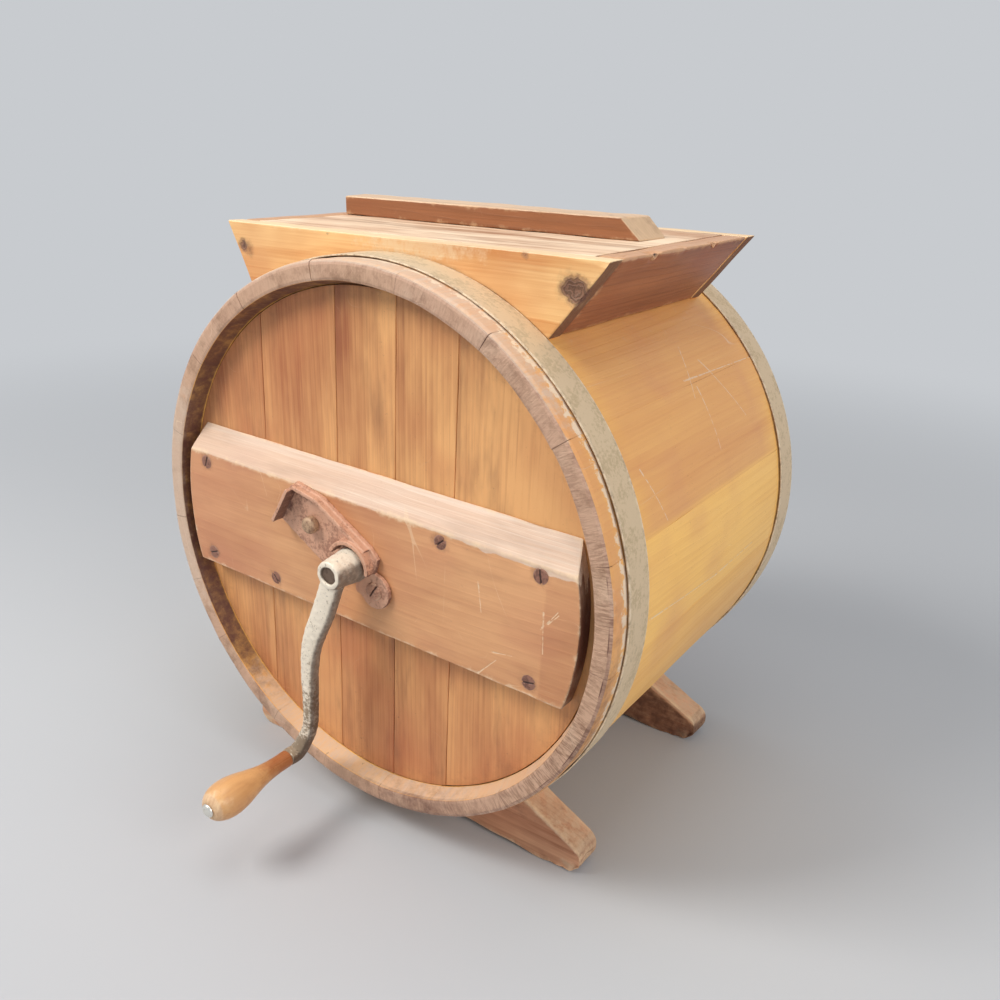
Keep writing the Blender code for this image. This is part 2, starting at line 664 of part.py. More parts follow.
def make_latch():
    """Cast plate that swings on its pivot and hooks behind the hub."""
    pivot = (LATCH_PIVOT.x, LATCH_BACK, LATCH_PIVOT.z)
    shape = bmesh.new()
    add_prism(shape, [latch_point(*point) for point in latch_outline()], LATCH_FACE, LATCH_BACK)
    latch = add_piece(
        "latch_plate", shape, finish("latch_plate", RUST_COLOUR, 0.7, 0.5), origin=pivot, smooth=True
    )
    rib = bmesh.new()
    rib_stop, rib_start = [share * LATCH_LENGTH for share in LATCH_RIB_SHARES]
    toe = LATCH_TOE_SHARE * LATCH_UPPER_WIDTH
    end = LATCH_LENGTH - RIB_SINK
    rib_line = ((rib_start, LATCH_UPPER_WIDTH), (rib_stop, LATCH_UPPER_WIDTH), (end, toe))
    outline = [latch_point(along, across - RIB_SINK) for along, across in rib_line]
    outline += [latch_point(along, across - LATCH_RIB_WIDTH) for along, across in reversed(rib_line)]
    add_prism(rib, outline, LATCH_FACE - LATCH_RIB_HEIGHT, LATCH_FACE + RIB_SINK)
    combine(latch, add_piece("latch_rib", rib), "UNION")
    ear = bmesh.new()
    ear_start = LATCH_LENGTH - LATCH_EAR_WIDTH
    ear_low = RIB_SINK - LATCH_LOWER_WIDTH
    ear_high = toe - LATCH_RIB_WIDTH + RIB_SINK
    corners = ((ear_start, ear_low), (end, ear_low), (end, ear_high), (ear_start, ear_high))
    outline = [latch_point(*corner) for corner in corners]
    add_prism(ear, outline, LATCH_FACE - LATCH_EAR_HEIGHT, LATCH_FACE + RIB_SINK)
    combine(latch, add_piece("latch_ear", ear), "UNION")
    collar = bmesh.new()
    inner = HUB_BASE_RADIUS + COLLAR_GAP
    top = LATCH_FACE - COLLAR_HEIGHT
    foot = LATCH_FACE + RIB_SINK
    profile = ((inner, foot), (inner, top), (inner + COLLAR_WIDTH, top), (inner + COLLAR_WIDTH, foot))
    start = math.radians(COLLAR_START_DEGREES)
    stop = math.radians(COLLAR_END_DEGREES)
    add_sector(collar, profile, start, stop, 12, (SHAFT_AXIS.x, SHAFT_AXIS.z))
    combine(latch, add_piece("latch_collar", collar), "UNION")
    holes = bmesh.new()
    for spot, radius in ((pivot, PIVOT_SHANK_RADIUS), (thumb_place(), THUMB_SHANK_RADIUS)):
        low = LATCH_FACE - LATCH_EAR_HEIGHT
        around = ((radius + FIT_GAP, low), (radius + FIT_GAP, BATTEN_FACE))
        add_turned(holes, around, SMALL_SIDES, (spot[0], 0.0, spot[2]))
    combine(latch, add_piece("latch_holes", holes), "DIFFERENCE")
    return latch


def thumb_place():
    """Barrel place of the thumb screw's axis on the latch face."""
    x, z = latch_point(THUMB_ALONG_SHARE * LATCH_LENGTH, THUMB_ACROSS_SHARE * LATCH_UPPER_WIDTH)
    return (x, LATCH_FACE, z)


def make_latch_screws(batten, boards):
    """Slotted pivot screw in the batten, and the thumb screw that clamps the latch."""
    outward = (0.0, -1.0, 0.0)
    spot = (LATCH_PIVOT.x, LATCH_FACE - FIT_GAP, LATCH_PIVOT.z)
    pivot = bmesh.new()
    profile = [(PIVOT_SHANK_RADIUS, -PIVOT_SHANK_LENGTH), (PIVOT_SHANK_RADIUS, 0.0)]
    profile += [(r * PIVOT_HEAD_RADIUS, h * PIVOT_HEAD_HEIGHT) for r, h in PIVOT_RIM_SHARES]
    add_turned(pivot, profile, ROUND_SIDES, spot, outward)
    rust = finish("latch_pivot_screw", RUST_COLOUR, 0.6, 0.7)
    screw = add_piece("latch_pivot_screw", pivot, rust, origin=spot, smooth=True)
    slot = bmesh.new()
    top = spot[1] - PIVOT_HEAD_HEIGHT
    reach = PIVOT_HEAD_RADIUS + CUT_OVERRUN
    low = (spot[0] - reach, top - CUT_OVERRUN, spot[2] - SLOT_WIDTH / 2)
    high = (spot[0] + reach, top + SLOT_DEPTH, spot[2] + SLOT_WIDTH / 2)
    add_box(slot, low, high)
    cutter = add_piece("pivot_slot", slot, origin=spot, turn=SLOT_TURN_DEGREES)
    combine(screw, cutter, "DIFFERENCE")
    way = bmesh.new()
    radius = PIVOT_SHANK_RADIUS + FIT_GAP
    add_turned(way, ((radius, -CUT_OVERRUN), (radius, PIVOT_SHANK_LENGTH + FIT_GAP)), SMALL_SIDES, spot)
    hole = add_piece("pivot_way", way)
    for item in [batten] + boards:
        combine(item, hole, "DIFFERENCE")
    thumb = bmesh.new()
    place_at = thumb_place()
    seat = (place_at[0], place_at[1] - FIT_GAP, place_at[2])
    shank = seat[1] - (BATTEN_FACE - FIT_GAP)
    profile = [(THUMB_SHANK_RADIUS, shank), (THUMB_SHANK_RADIUS, 0.0)]
    profile += [(r * THUMB_HEAD_RADIUS, h * THUMB_HEAD_HEIGHT) for r, h in THUMB_DOME_SHARES]
    add_turned(thumb, profile, ROUND_SIDES, seat, outward)
    add_piece("thumb_screw", thumb, finish("thumb_screw", RUST_COLOUR, 0.6, 0.7), origin=seat, smooth=True)


def smooth_path(points, steps):
    """Catmull-Rom curve through points, with a few steps between each two."""
    path = []
    last = len(points) - 1
    for index in range(last):
        before = points[max(index - 1, 0)]
        one = points[index]
        two = points[index + 1]
        after = points[min(index + 2, last)]
        for step in range(steps):
            t = step / steps
            path.append(0.5 * (
                2 * one + (two - before) * t
                + (2 * before - 5 * one + 4 * two - after) * t * t
                + (3 * one - before - 3 * two + after) * t * t * t
            ))
    path.append(points[last])
    return path


def share_along(shares, position):
    """Read a list of shares at a position from 0 to 1."""
    spot = position * (len(shares) - 1)
    low = min(int(spot), len(shares) - 2)
    return shares[low] + (shares[low + 1] - shares[low]) * (spot - low)


def arm_points():
    """Places that the crank's arm runs through, from the hub's wall to the elbow's end."""
    first = Vector((-ARM_PATH_SHARES[0][0] * CRANK_SWAY, 0.0, -ARM_PATH_SHARES[0][1] * CRANK_DROP))
    root = SHAFT_AXIS + Vector((0.0, ARM_PLANE, 0.0)) + first.normalized() * ARM_ROOT_INSET
    points = [root]
    for across, down in ARM_PATH_SHARES:
        points.append(SHAFT_AXIS + Vector((-across * CRANK_SWAY, ARM_PLANE, -down * CRANK_DROP)))
    for share in ELBOW_RUN_SHARES:
        points.append(GRIP_AXIS + Vector((0.0, ARM_PLANE - share * ELBOW_LENGTH, 0.0)))
    return points


def make_crank(axis):
    """Cast crank: a bored hub, a swept arm and an elbow that turns out to the grip."""
    hub = bmesh.new()
    bore = NECK_RADIUS + FIT_GAP
    profile = (
        (bore, HUB_END),
        (HUB_END_RADIUS - HUB_END_ROUND, HUB_END),
        (HUB_END_RADIUS, HUB_END + HUB_END_ROUND),
        (HUB_BASE_RADIUS, HUB_BASE - HUB_BASE_LENGTH),
        (HUB_BASE_RADIUS, HUB_BASE),
        (bore, HUB_BASE),
    )
    add_ring(hub, profile, ROUND_SIDES, (SHAFT_AXIS.x, SHAFT_AXIS.z))
    iron = finish("crank_arm", IRON_COLOUR, 0.6, 0.7)
    crank = add_piece("crank_arm", hub, iron, origin=SHAFT_AXIS, parent=axis, smooth=True)
    arm = bmesh.new()
    path = smooth_path(arm_points(), ARM_STEPS)
    wide_way = Vector((1.0, 0.0, 0.0))
    rows = []
    for index, point in enumerate(path):
        ahead = path[min(index + 1, len(path) - 1)]
        behind = path[max(index - 1, 0)]
        tangent = (ahead - behind).normalized()
        wide_way = (wide_way - tangent * wide_way.dot(tangent)).normalized()
        thick_way = tangent.cross(wide_way)
        half_width = ARM_ROOT_WIDTH / 2 * share_along(ARM_WIDTH_SHARES, index / (len(path) - 1))
        half_thick = min(ARM_THICKNESS / 2, half_width)
        row = []
        for side in range(ARM_SIDES):
            angle = 2 * math.pi * side / ARM_SIDES
            row.append(
                point + wide_way * (half_width * math.cos(angle)) + thick_way * (half_thick * math.sin(angle))
            )
        rows.append(row)
    add_rows(arm, rows, closed_rows=False)
    combine(crank, add_piece("crank_arm_sweep", arm), "UNION")
    return crank


def make_shaft(axis):
    """Stepped shaft: neck in the hub, journal in the head and square end in the dasher."""
    shape = bmesh.new()
    profile = (
        (NECK_RADIUS, HUB_END + SHAFT_RECESS),
        (NECK_RADIUS, LATCH_BACK + RUN_GAP),
        (JOURNAL_RADIUS, LATCH_BACK + RUN_GAP),
        (JOURNAL_RADIUS, FRONT_HEAD_BACK),
    )
    add_turned(shape, profile, ROUND_SIDES, SHAFT_AXIS)
    iron = finish("crank_shaft", IRON_COLOUR, 0.5, 0.8)
    shaft = add_piece("crank_shaft", shape, iron, origin=SHAFT_AXIS, parent=axis, smooth=True)
    end = bmesh.new()
    half = SQUARE_SIDE / 2
    low = (-half, FRONT_HEAD_BACK - FIT_GAP, SHAFT_AXIS.z - half)
    high = (half, DASHER_FRONT + SQUARE_LENGTH, SHAFT_AXIS.z + half)
    add_box(end, low, high)
    combine(shaft, add_piece("shaft_square", end), "UNION")


def make_grip(axis):
    """Turned grip that spins on a riveted spindle."""
    shape = bmesh.new()
    bore = SPINDLE_RADIUS + GRIP_BORE_GAP
    profile = [(bore, GRIP_START)]
    profile += [(r * GRIP_RADIUS, GRIP_START - t * GRIP_LENGTH) for t, r in GRIP_PROFILE_SHARES]
    profile.append((bore, GRIP_END))
    add_ring(shape, profile, ROUND_SIDES, (GRIP_AXIS.x, GRIP_AXIS.z))
    maple = finish("crank_grip", MAPLE_COLOUR, 0.35)
    add_piece("crank_grip", shape, maple, origin=GRIP_AXIS, parent=axis, smooth=True)
    spindle = bmesh.new()
    outline = [(SPINDLE_RADIUS, ELBOW_END - FIT_GAP), (SPINDLE_RADIUS, CAP_BASE)]
    outline += [(r * CAP_RADIUS, CAP_BASE - h * CAP_HEIGHT) for r, h in CAP_DOME_SHARES]
    add_turned(spindle, outline, SMALL_SIDES, GRIP_AXIS)
    steel = finish("grip_spindle", CAP_COLOUR, 0.3, 0.9)
    add_piece("grip_spindle", spindle, steel, origin=GRIP_AXIS, parent=axis, smooth=True)


def make_dasher(axis):
    """Octagonal hub with four pierced blades let into it."""
    centre = SHAFT_AXIS.z
    hub = bmesh.new()
    corner = DASHER_HUB_HALF / math.cos(math.pi / 8)
    outline = []
    for side in range(8):
        angle = math.pi * (2 * side + 1) / 8
        outline.append((corner * math.cos(angle), centre + corner * math.sin(angle)))
    add_prism(hub, outline, DASHER_FRONT, DASHER_REAR)
    wood = finish("dasher_hub", DASHER_COLOUR, 0.7)
    body = add_piece("dasher_hub", hub, wood, origin=SHAFT_AXIS, parent=axis)
    ways = bmesh.new()
    half = SQUARE_SIDE / 2 + FIT_GAP
    low = (-half, DASHER_FRONT - CUT_OVERRUN, centre - half)
    high = (half, DASHER_FRONT + SQUARE_LENGTH + FIT_GAP, centre + half)
    add_box(ways, low, high)
    hole = PIVOT_PIN_RADIUS + RUN_GAP
    depth = DASHER_REAR - PIVOT_PIN_LENGTH
    add_turned(ways, ((hole, depth), (hole, DASHER_REAR + CUT_OVERRUN)), ROUND_SIDES, SHAFT_AXIS)
    combine(body, add_piece("dasher_hub_ways", ways), "DIFFERENCE")
    for number in range(4):
        name = f"dasher_blade_{number + 1}"
        turn = BLADE_TURN_DEGREES + 90.0 * number
        item = add_piece(name, blade(), finish(name, DASHER_COLOUR, 0.7), SHAFT_AXIS, axis, turn)
        combine(item, add_piece(f"{name}_holes", blade_holes(), None, SHAFT_AXIS, axis, turn), "DIFFERENCE")
        groove = add_piece(f"{name}_groove", blade(FIT_GAP), None, SHAFT_AXIS, axis, turn)
        combine(body, groove, "DIFFERENCE")


def blade(margin=0.0):
    """Dasher blade that reaches out along +X, grown by a margin where the hub is cut for it."""
    centre = SHAFT_AXIS.z
    half = BLADE_THICKNESS / 2 + margin
    low = (DASHER_HUB_HALF - BLADE_TENON - margin, DASHER_FRONT + BLADE_SETBACK - margin, centre - half)
    high = (DASHER_REACH + margin, DASHER_REAR - BLADE_SETBACK + margin, centre + half)
    shape = bmesh.new()
    add_box(shape, low, high)
    return shape


def blade_holes():
    """Round holes through a blade, in two rows."""
    shape = bmesh.new()
    reach = BLADE_THICKNESS / 2 + CUT_OVERRUN
    length = DASHER_REAR - DASHER_FRONT - 2 * BLADE_SETBACK
    for row in BLADE_HOLE_ROW_SHARES:
        across = DASHER_HUB_HALF + row * (DASHER_REACH - DASHER_HUB_HALF)
        for index in range(BLADE_HOLES_PER_ROW):
            along = DASHER_FRONT + BLADE_SETBACK + length * (index + 0.5) / BLADE_HOLES_PER_ROW
            way = ((BLADE_HOLE_RADIUS, -reach), (BLADE_HOLE_RADIUS, reach))
            add_turned(shape, way, BLADE_HOLE_SIDES, (across, along, SHAFT_AXIS.z), (0.0, 0.0, 1.0))
    return shape


def make_rear_pivot():
    """Flanged iron pin on the rear head that carries the dasher's tail."""
    shape = bmesh.new()
    face = REAR_HEAD_FACE - FIT_GAP
    front = face - PIVOT_FLANGE_THICKNESS
    tip = front - PIVOT_PIN_LENGTH + DASHER_REAR_GAP
    profile = (
        (PIVOT_PIN_RADIUS, tip),
        (PIVOT_PIN_RADIUS, front),
        (PIVOT_FLANGE_RADIUS, front),
        (PIVOT_FLANGE_RADIUS, face),
    )
    add_turned(shape, profile, ROUND_SIDES, SHAFT_AXIS)
    rust = finish("rear_pivot", RUST_COLOUR, 0.6, 0.7)
    add_piece("rear_pivot", shape, rust, origin=SHAFT_AXIS, smooth=True)


def hopper_slope(foot_half):
    """Foot point, top point and inward normal of a hopper side's outer face, turned to +X."""
    seat = BARREL_RADIUS + 2 * FIT_GAP
    foot = Vector((foot_half, 0.0, math.sqrt(seat * seat - foot_half * foot_half)))
    top = Vector((HOPPER_TOP_HALF, 0.0, HOPPER_RISE))
    run = (top - foot).normalized()
    inward = Vector((-run.z, 0.0, run.x))
    return foot, top, inward


def make_hopper_ends():
    """Front and rear boards, cut to the barrel below and sloped at the sides."""
    right_foot, top, inward = hopper_slope(HOPPER_RIGHT_FOOT)
    left_foot, top, inward = hopper_slope(HOPPER_LEFT_FOOT)
    start = math.atan2(right_foot.z, right_foot.x)
    stop = math.pi - math.atan2(left_foot.z, left_foot.x)
    seat = outside(BARREL_RADIUS + FIT_GAP, (stop - start) / HOPPER_ARC_STEPS)
    outline = [(top.x, top.z)] + [(-top.x, top.z)]
    outline += list(reversed(arc(seat, start, stop, HOPPER_ARC_STEPS)))
    ends = (("hopper_front_board", HOPPER_FRONT, MOUTH_FRONT), ("hopper_rear_board", MOUTH_REAR, HOPPER_REAR))
    for name, low, high in ends:
        shape = bmesh.new()
        add_prism(shape, outline, low, high)
        add_piece(name, shape, finish(name, HOPPER_COLOUR, 0.45))


def make_hopper_sides():
    """Sloping side boards that stand on the barrel between the end boards."""
    seat = BARREL_RADIUS + 2 * FIT_GAP
    sides = (("hopper_right_board", 1.0, HOPPER_RIGHT_FOOT), ("hopper_left_board", -1.0, HOPPER_LEFT_FOOT))
    for name, side, foot_half in sides:
        foot, top, inward = hopper_slope(foot_half)
        run = (top - foot).normalized()
        inner_top = top + Vector((-HOPPER_BOARD / run.z, 0.0, 0.0))
        line = foot + inward * HOPPER_BOARD
        reach = line.dot(run)
        slide = -reach + math.sqrt(reach * reach - line.dot(line) + seat * seat)
        inner_foot = line + run * slide
        shape = bmesh.new()
        outline = [(side * point.x, point.z) for point in (foot, top, inner_top, inner_foot)]
        add_prism(shape, outline, MOUTH_FRONT + FIT_GAP, MOUTH_REAR - FIT_GAP)
        add_piece(name, shape, finish(name, HOPPER_SIDE_COLOUR, 0.5))


def make_lid():
    """Lid board wedged between the hopper's sloping sides, with its handle bar."""
    halves = []
    for foot_half in (HOPPER_LEFT_FOOT, HOPPER_RIGHT_FOOT):
        foot, top, inward = hopper_slope(foot_half)
        run = (top - foot).normalized()
        top_half = top.x - (HOPPER_BOARD + LID_GAP) / run.z
        halves.append((top_half - LID_THICKNESS * run.x / run.z, top_half))
    (left_low, left_top), (right_low, right_top) = halves
    outline = (
        (-left_low, HOPPER_RISE - LID_THICKNESS), (right_low, HOPPER_RISE - LID_THICKNESS),
        (right_top, HOPPER_RISE), (-left_top, HOPPER_RISE),
    )
    middle = (MOUTH_FRONT + MOUTH_REAR) / 2
    origin = (0.0, middle, HOPPER_RISE)
    shape = bmesh.new()
    add_prism(shape, outline, MOUTH_FRONT + LID_GAP, MOUTH_REAR - LID_GAP)
    add_piece("lid", shape, finish("lid", LID_COLOUR, 0.6), origin=origin)
    bar_shape = bmesh.new()
    front = middle + BAR_BACKSET - BAR_WIDTH / 2
    back = front + BAR_WIDTH
    low = HOPPER_RISE + FIT_GAP
    high = low + BAR_THICKNESS
    left = [
        (-BAR_LEFT, front, low), (-BAR_LEFT, front, high),
        (-BAR_LEFT - BAR_LEFT_SKEW, back, high), (-BAR_LEFT - BAR_LEFT_SKEW, back, low),
    ]
    right = [
        (BAR_RIGHT, front, low), (BAR_RIGHT - BAR_END_BEVEL, front, high),
        (BAR_RIGHT - BAR_END_BEVEL + BAR_END_SKEW, back, high), (BAR_RIGHT + BAR_END_SKEW / 2, back, low),
    ]
    add_rows(bar_shape, [left, right], closed_rows=False)
    add_piece("lid_bar", bar_shape, finish("lid_bar", BATTEN_COLOUR, 0.5), origin=origin)


def foot_outline():
    """(x, z) outline of a cradle board, clockwise from the left end of its seat."""
    seat_angle = math.acos(FOOT_SHOULDER_HALF / (BARREL_RADIUS + FIT_GAP))
    step = (math.pi - 2 * seat_angle) / FOOT_ARC_STEPS
    seat = outside(BARREL_RADIUS + FIT_GAP, step)
    top = arc(seat, math.pi + seat_angle, 2 * math.pi - seat_angle, FOOT_ARC_STEPS)
    nose = (FOOT_HALF - FOOT_NOSE_RADIUS, -FOOT_DROP + FOOT_NOSE_RADIUS)
    shoulder = top[-1]
    reach = math.hypot(shoulder[0] - nose[0], shoulder[1] - nose[1])
    bearing = math.atan2(shoulder[1] - nose[1], shoulder[0] - nose[0])
    nose_start = bearing - math.acos(FOOT_NOSE_RADIUS / reach)
    right = arc(FOOT_NOSE_RADIUS, nose_start, -math.pi / 2, FOOT_NOSE_STEPS, nose)
    left = [(-x, z) for x, z in reversed(right)]
    arch_half = nose[0] - FOOT_PAD
    under = []
    for index in range(FOOT_ARCH_STEPS + 1):
        share = 1.0 - 2.0 * index / FOOT_ARCH_STEPS
        under.append((share * arch_half, -FOOT_DROP + FOOT_ARCH * (1.0 - share ** 4)))
    return top + right + under + left


def make_feet():
    """Two cradle boards under the barrel."""
    outline = foot_outline()
    for name, start in (("front_foot", FRONT_FOOT_START), ("rear_foot", REAR_FOOT_START)):
        shape = bmesh.new()
        add_prism(shape, outline, start, start + FOOT_THICKNESS)
        add_piece(name, shape, finish(name, FOOT_COLOUR, 0.6))


def main():
    """Build the whole churn."""
    clear_scene()
    axis = add_empty("crank_axis", SHAFT_AXIS)
    make_staves()
    boards = make_head("front", HEAD_INSET, FRONT_HEAD_BACK, FRONT_SEAM_SHARES, HEAD_TURN_DEGREES)
    make_head("rear", STAVE_LENGTH - HEAD_INSET, REAR_HEAD_FACE, REAR_SEAM_SHARES, 0.0)
    make_hoop("front_hoop", FRONT_HOOP_INSET)
    make_hoop("rear_hoop", REAR_HOOP_END - HOOP_WIDTH)
    batten = make_batten()
    make_batten_screws(batten, boards)
    bore_for_shaft([batten] + boards)
    make_latch()
    make_latch_screws(batten, boards)
    make_crank(axis)
    make_shaft(axis)
    make_grip(axis)
    make_dasher(axis)
    make_rear_pivot()
    make_hopper_ends()
    make_hopper_sides()
    make_lid()
    make_feet()


main()
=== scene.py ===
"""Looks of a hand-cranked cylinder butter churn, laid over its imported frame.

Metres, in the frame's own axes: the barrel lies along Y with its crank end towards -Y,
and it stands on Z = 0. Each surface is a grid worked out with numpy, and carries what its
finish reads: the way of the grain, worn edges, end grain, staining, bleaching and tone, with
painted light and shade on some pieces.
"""
import logging
import math
from dataclasses import dataclass, field
from enum import Enum

import bmesh
import bpy
import numpy as np
from mathutils import Matrix, Vector


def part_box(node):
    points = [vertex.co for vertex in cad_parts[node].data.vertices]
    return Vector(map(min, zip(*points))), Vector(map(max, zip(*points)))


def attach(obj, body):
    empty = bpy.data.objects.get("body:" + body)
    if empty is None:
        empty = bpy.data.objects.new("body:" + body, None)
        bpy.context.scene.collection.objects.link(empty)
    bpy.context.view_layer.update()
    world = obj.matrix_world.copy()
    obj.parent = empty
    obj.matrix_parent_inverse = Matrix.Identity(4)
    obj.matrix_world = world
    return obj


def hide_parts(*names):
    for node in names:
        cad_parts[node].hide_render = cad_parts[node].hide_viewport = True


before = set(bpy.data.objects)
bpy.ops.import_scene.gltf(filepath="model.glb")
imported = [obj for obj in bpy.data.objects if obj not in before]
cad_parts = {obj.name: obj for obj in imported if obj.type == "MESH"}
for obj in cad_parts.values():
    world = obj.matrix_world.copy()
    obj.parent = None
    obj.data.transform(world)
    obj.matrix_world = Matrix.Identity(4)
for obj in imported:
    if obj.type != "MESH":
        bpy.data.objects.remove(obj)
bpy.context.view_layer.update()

LOG = logging.getLogger("churn")

Tint = tuple[float, float, float]
Place = tuple[float, float, float]
Socket = bpy.types.NodeSocket
Array = np.ndarray
Skin = tuple[Array, Array, Array]
Pair = tuple[float, float]
ZERO: Place = (0.0, 0.0, 0.0)
ONE: Place = (1.0, 1.0, 1.0)
FORWARD = np.array((0.0, -1.0, 0.0))


class Body(Enum):
    """Moving bodies of the frame."""

    CHURN = "churn_body"
    CRANK = "crank_and_dasher"
    GRIP = "grip"
    LATCH = "latch"
    THUMB = "thumb"
    LID = "lid_assembly"


class Axis(Enum):
    """Way that the grain runs in a piece."""

    X = 0
    Y = 1
    Z = 2


def rgb(red: float, green: float, blue: float) -> Tint:
    """Linear colour of an 8-bit screen colour.

    Args:
        red, green, blue: Screen values from 0 to 255.

    Returns:
        The same colour in linear light.
    """
    share = np.array((red, green, blue)) / 255.0
    linear = np.where(share <= 0.04045, share / 12.92, ((share + 0.055) / 1.055) ** 2.4)
    return tuple(float(value) for value in linear)


def unit(vectors: Array) -> Array:
    """Vectors divided by their lengths."""
    return vectors / np.maximum(np.linalg.norm(vectors, axis=-1, keepdims=True), 1e-12)


def ease(count: int, pull: float = 0.8) -> Array:
    """Steps from 0 to 1 drawn towards both ends: t - pull sin(2 pi t) / (2 pi)."""
    t = np.linspace(0.0, 1.0, count)
    return t - pull * np.sin(2.0 * np.pi * t) / (2.0 * np.pi)


def smooth(value: Array, low: float, high: float) -> Array:
    """Smooth step: 3 t^2 - 2 t^3 with t running from 0 at low to 1 at high."""
    t = np.clip((value - low) / (high - low), 0.0, 1.0)
    return t * t * (3.0 - 2.0 * t)


def apart(one: Array, two: float) -> Array:
    """Smallest turn between two angles."""
    return np.abs((one - two + np.pi) % (2.0 * np.pi) - np.pi)


def ripple(points: Array, size: float, seed: int, waves: int = 9) -> Array:
    """Smooth unevenness between about -1 and 1.

    It is the sum of sines of p . k + phase, with seeded wave vectors k about 1/size long.

    Args:
        points: Places, with their coordinates on the last axis.
        size: Length of a swell in metres.
        seed: Seed of the wave vectors.
        waves: How many sines are added.

    Returns:
        One value for each place.
    """
    source = np.random.default_rng(seed)
    ways = unit(source.normal(size=(waves, 3))) * (2.0 * np.pi / size) * source.uniform(0.5, 1.6, (waves, 1))
    phases = source.uniform(0.0, 2.0 * np.pi, waves)
    return np.sin(points @ ways.T + phases).sum(axis=-1) / math.sqrt(waves * 1.2)


def ruled(*corners: tuple) -> Array:
    """Section corners from the coordinates of each corner.

    Args:
        corners: X, Y and Z of each corner, as numbers or as one value for each section.

    Returns:
        Places (sections, corners, 3).
    """
    return np.stack([np.stack(np.broadcast_arrays(*corner), axis=-1) for corner in corners], axis=1)


def link(name: str, data: bpy.types.ID) -> bpy.types.Object:
    """New object of some data, in the scene."""
    item = bpy.data.objects.new(name, data)
    bpy.context.scene.collection.objects.link(item)
    return item


def curve_through(points: Array, steps: int) -> Array:
    """Catmull-Rom curve: each span blends its two ends and their neighbours by cubics in t.

    Args:
        points: Places that the curve passes through, one a row.
        steps: Steps between each two of them.

    Returns:
        Places on the curve, the last point included.
    """
    padded = np.vstack((points[:1], points, points[-1:]))
    t = (np.arange(steps) / steps)[None, :, None]
    before, one, two, after = (padded[k:k + len(points) - 1, None] for k in range(4))
    spans = 0.5 * (
        2 * one + (two - before) * t
        + (2 * before - 5 * one + 4 * two - after) * t ** 2
        + (3 * one - before - 3 * two + after) * t ** 3
    )
    return np.vstack((spans.reshape(-1, points.shape[1]), points[-1:]))


@dataclass
class Surface:
    """Closed surface on a grid of rows, each row a loop of points.

    A ring joins its last row to its first. Anything else is closed by a fan to a pole in
    the middle of each end row.
    """

    points: Array
    marks: dict[str, Array] = field(default_factory=dict)
    ring: bool = False

    def placed(self) -> "Surface":
        """The surface, moved from the barrel's own middle to its place."""
        self.points = self.points + BARREL.shift()
        return self

    def skin(self) -> Skin:
        """Vertices, quads and triangles, with faces that point outwards.

        Returns:
            Vertices (n, 3), quads (m, 4) and triangles (k, 3).
        """
        rows, columns, _ = self.points.shape
        index = np.arange(rows * columns).reshape(rows, columns)
        ahead = np.roll(index, -1, axis=1)
        vertices = self.points.reshape(-1, 3)
        if self.ring:
            below, corner = np.roll(index, -1, axis=0), np.roll(ahead, -1, axis=0)
            quads = np.stack((index, ahead, corner, below), axis=-1).reshape(-1, 4)
            triangles = np.zeros((0, 3), int)
        else:
            quads = np.stack((index[:-1], ahead[:-1], ahead[1:], index[1:]), axis=-1).reshape(-1, 4)
            first = np.full(columns, rows * columns)
            poles = self.points[[0, -1]].mean(axis=1)
            vertices = np.vstack((vertices, poles))
            triangles = np.vstack((
                np.stack((first, ahead[0], index[0]), axis=-1),
                np.stack((first + 1, index[-1], ahead[-1]), axis=-1)))
        a, b, c, d = (vertices[quads[:, k]] for k in range(4))
        inside = np.einsum("ij,ij->", a, np.cross(b, c)) + np.einsum("ij,ij->", a, np.cross(c, d))
        if len(triangles):
            e, f, g = (vertices[triangles[:, k]] for k in range(3))
            inside += np.einsum("ij,ij->", e, np.cross(f, g))
        if inside < 0.0:
            quads, triangles = quads[:, ::-1], triangles[:, ::-1]
        return vertices, quads, triangles

    def mark(self, name: str, width: int) -> Array:
        """Values of a mark for each vertex, poles included, or zeros.

        Args:
            name: Name of the mark.
            width: Numbers in each value.

        Returns:
            An array of (vertices, width).
        """
        rows, columns, _ = self.points.shape
        values = self.marks.get(name, np.zeros((rows, columns, width)))
        values = np.broadcast_to(values.reshape(*values.shape[:2], -1), (rows, columns, width))
        flat = values.reshape(-1, width)
        return flat if self.ring else np.vstack((flat, values[[0, -1]].mean(axis=1)))


def rounded_loops(corners: Array, radius: Array, spread: int) -> tuple[Array, Array]:
    """Loops round polygons with rounded corners.

    A corner C with unit ways a and b to its neighbours becomes the arc
    C + r ((1 - sin t) a + (1 - cos t) b) for t from 0 to 90 degrees, and the sides between
    the arcs are straight.

    Args:
        corners: Polygon corners, (rows, corners, 3).
        radius: Rounding of each row.
        spread: Points on each side, its two arc ends included.

    Returns:
        Points (rows, columns, 3) and their distance to the nearest corner (rows, columns).
    """
    back = unit(np.roll(corners, 1, axis=1) - corners)
    ahead = unit(np.roll(corners, -1, axis=1) - corners)
    turn = np.linspace(0.0, np.pi / 2.0, 5)[None, 1:-1, None]
    reach = radius[:, None, None]
    share = ease(spread)[None, :, None]
    parts, near = [], []
    for k in range(corners.shape[1]):
        after = (k + 1) % corners.shape[1]
        corner = corners[:, k, None]
        bend = (1.0 - np.sin(turn)) * back[:, k, None] + (1.0 - np.cos(turn)) * ahead[:, k, None]
        parts.append(corner + reach * bend)
        near.append(np.zeros((len(corners), turn.shape[1])))
        start = corner + reach * ahead[:, k, None]
        stop = corners[:, after, None] + reach * back[:, after, None]
        parts.append(start + (stop - start) * share)
        length = np.linalg.norm(stop - start, axis=-1)
        near.append(length * np.minimum(share, 1.0 - share)[..., 0])
    return np.concatenate(parts, axis=1), np.concatenate(near, axis=1)


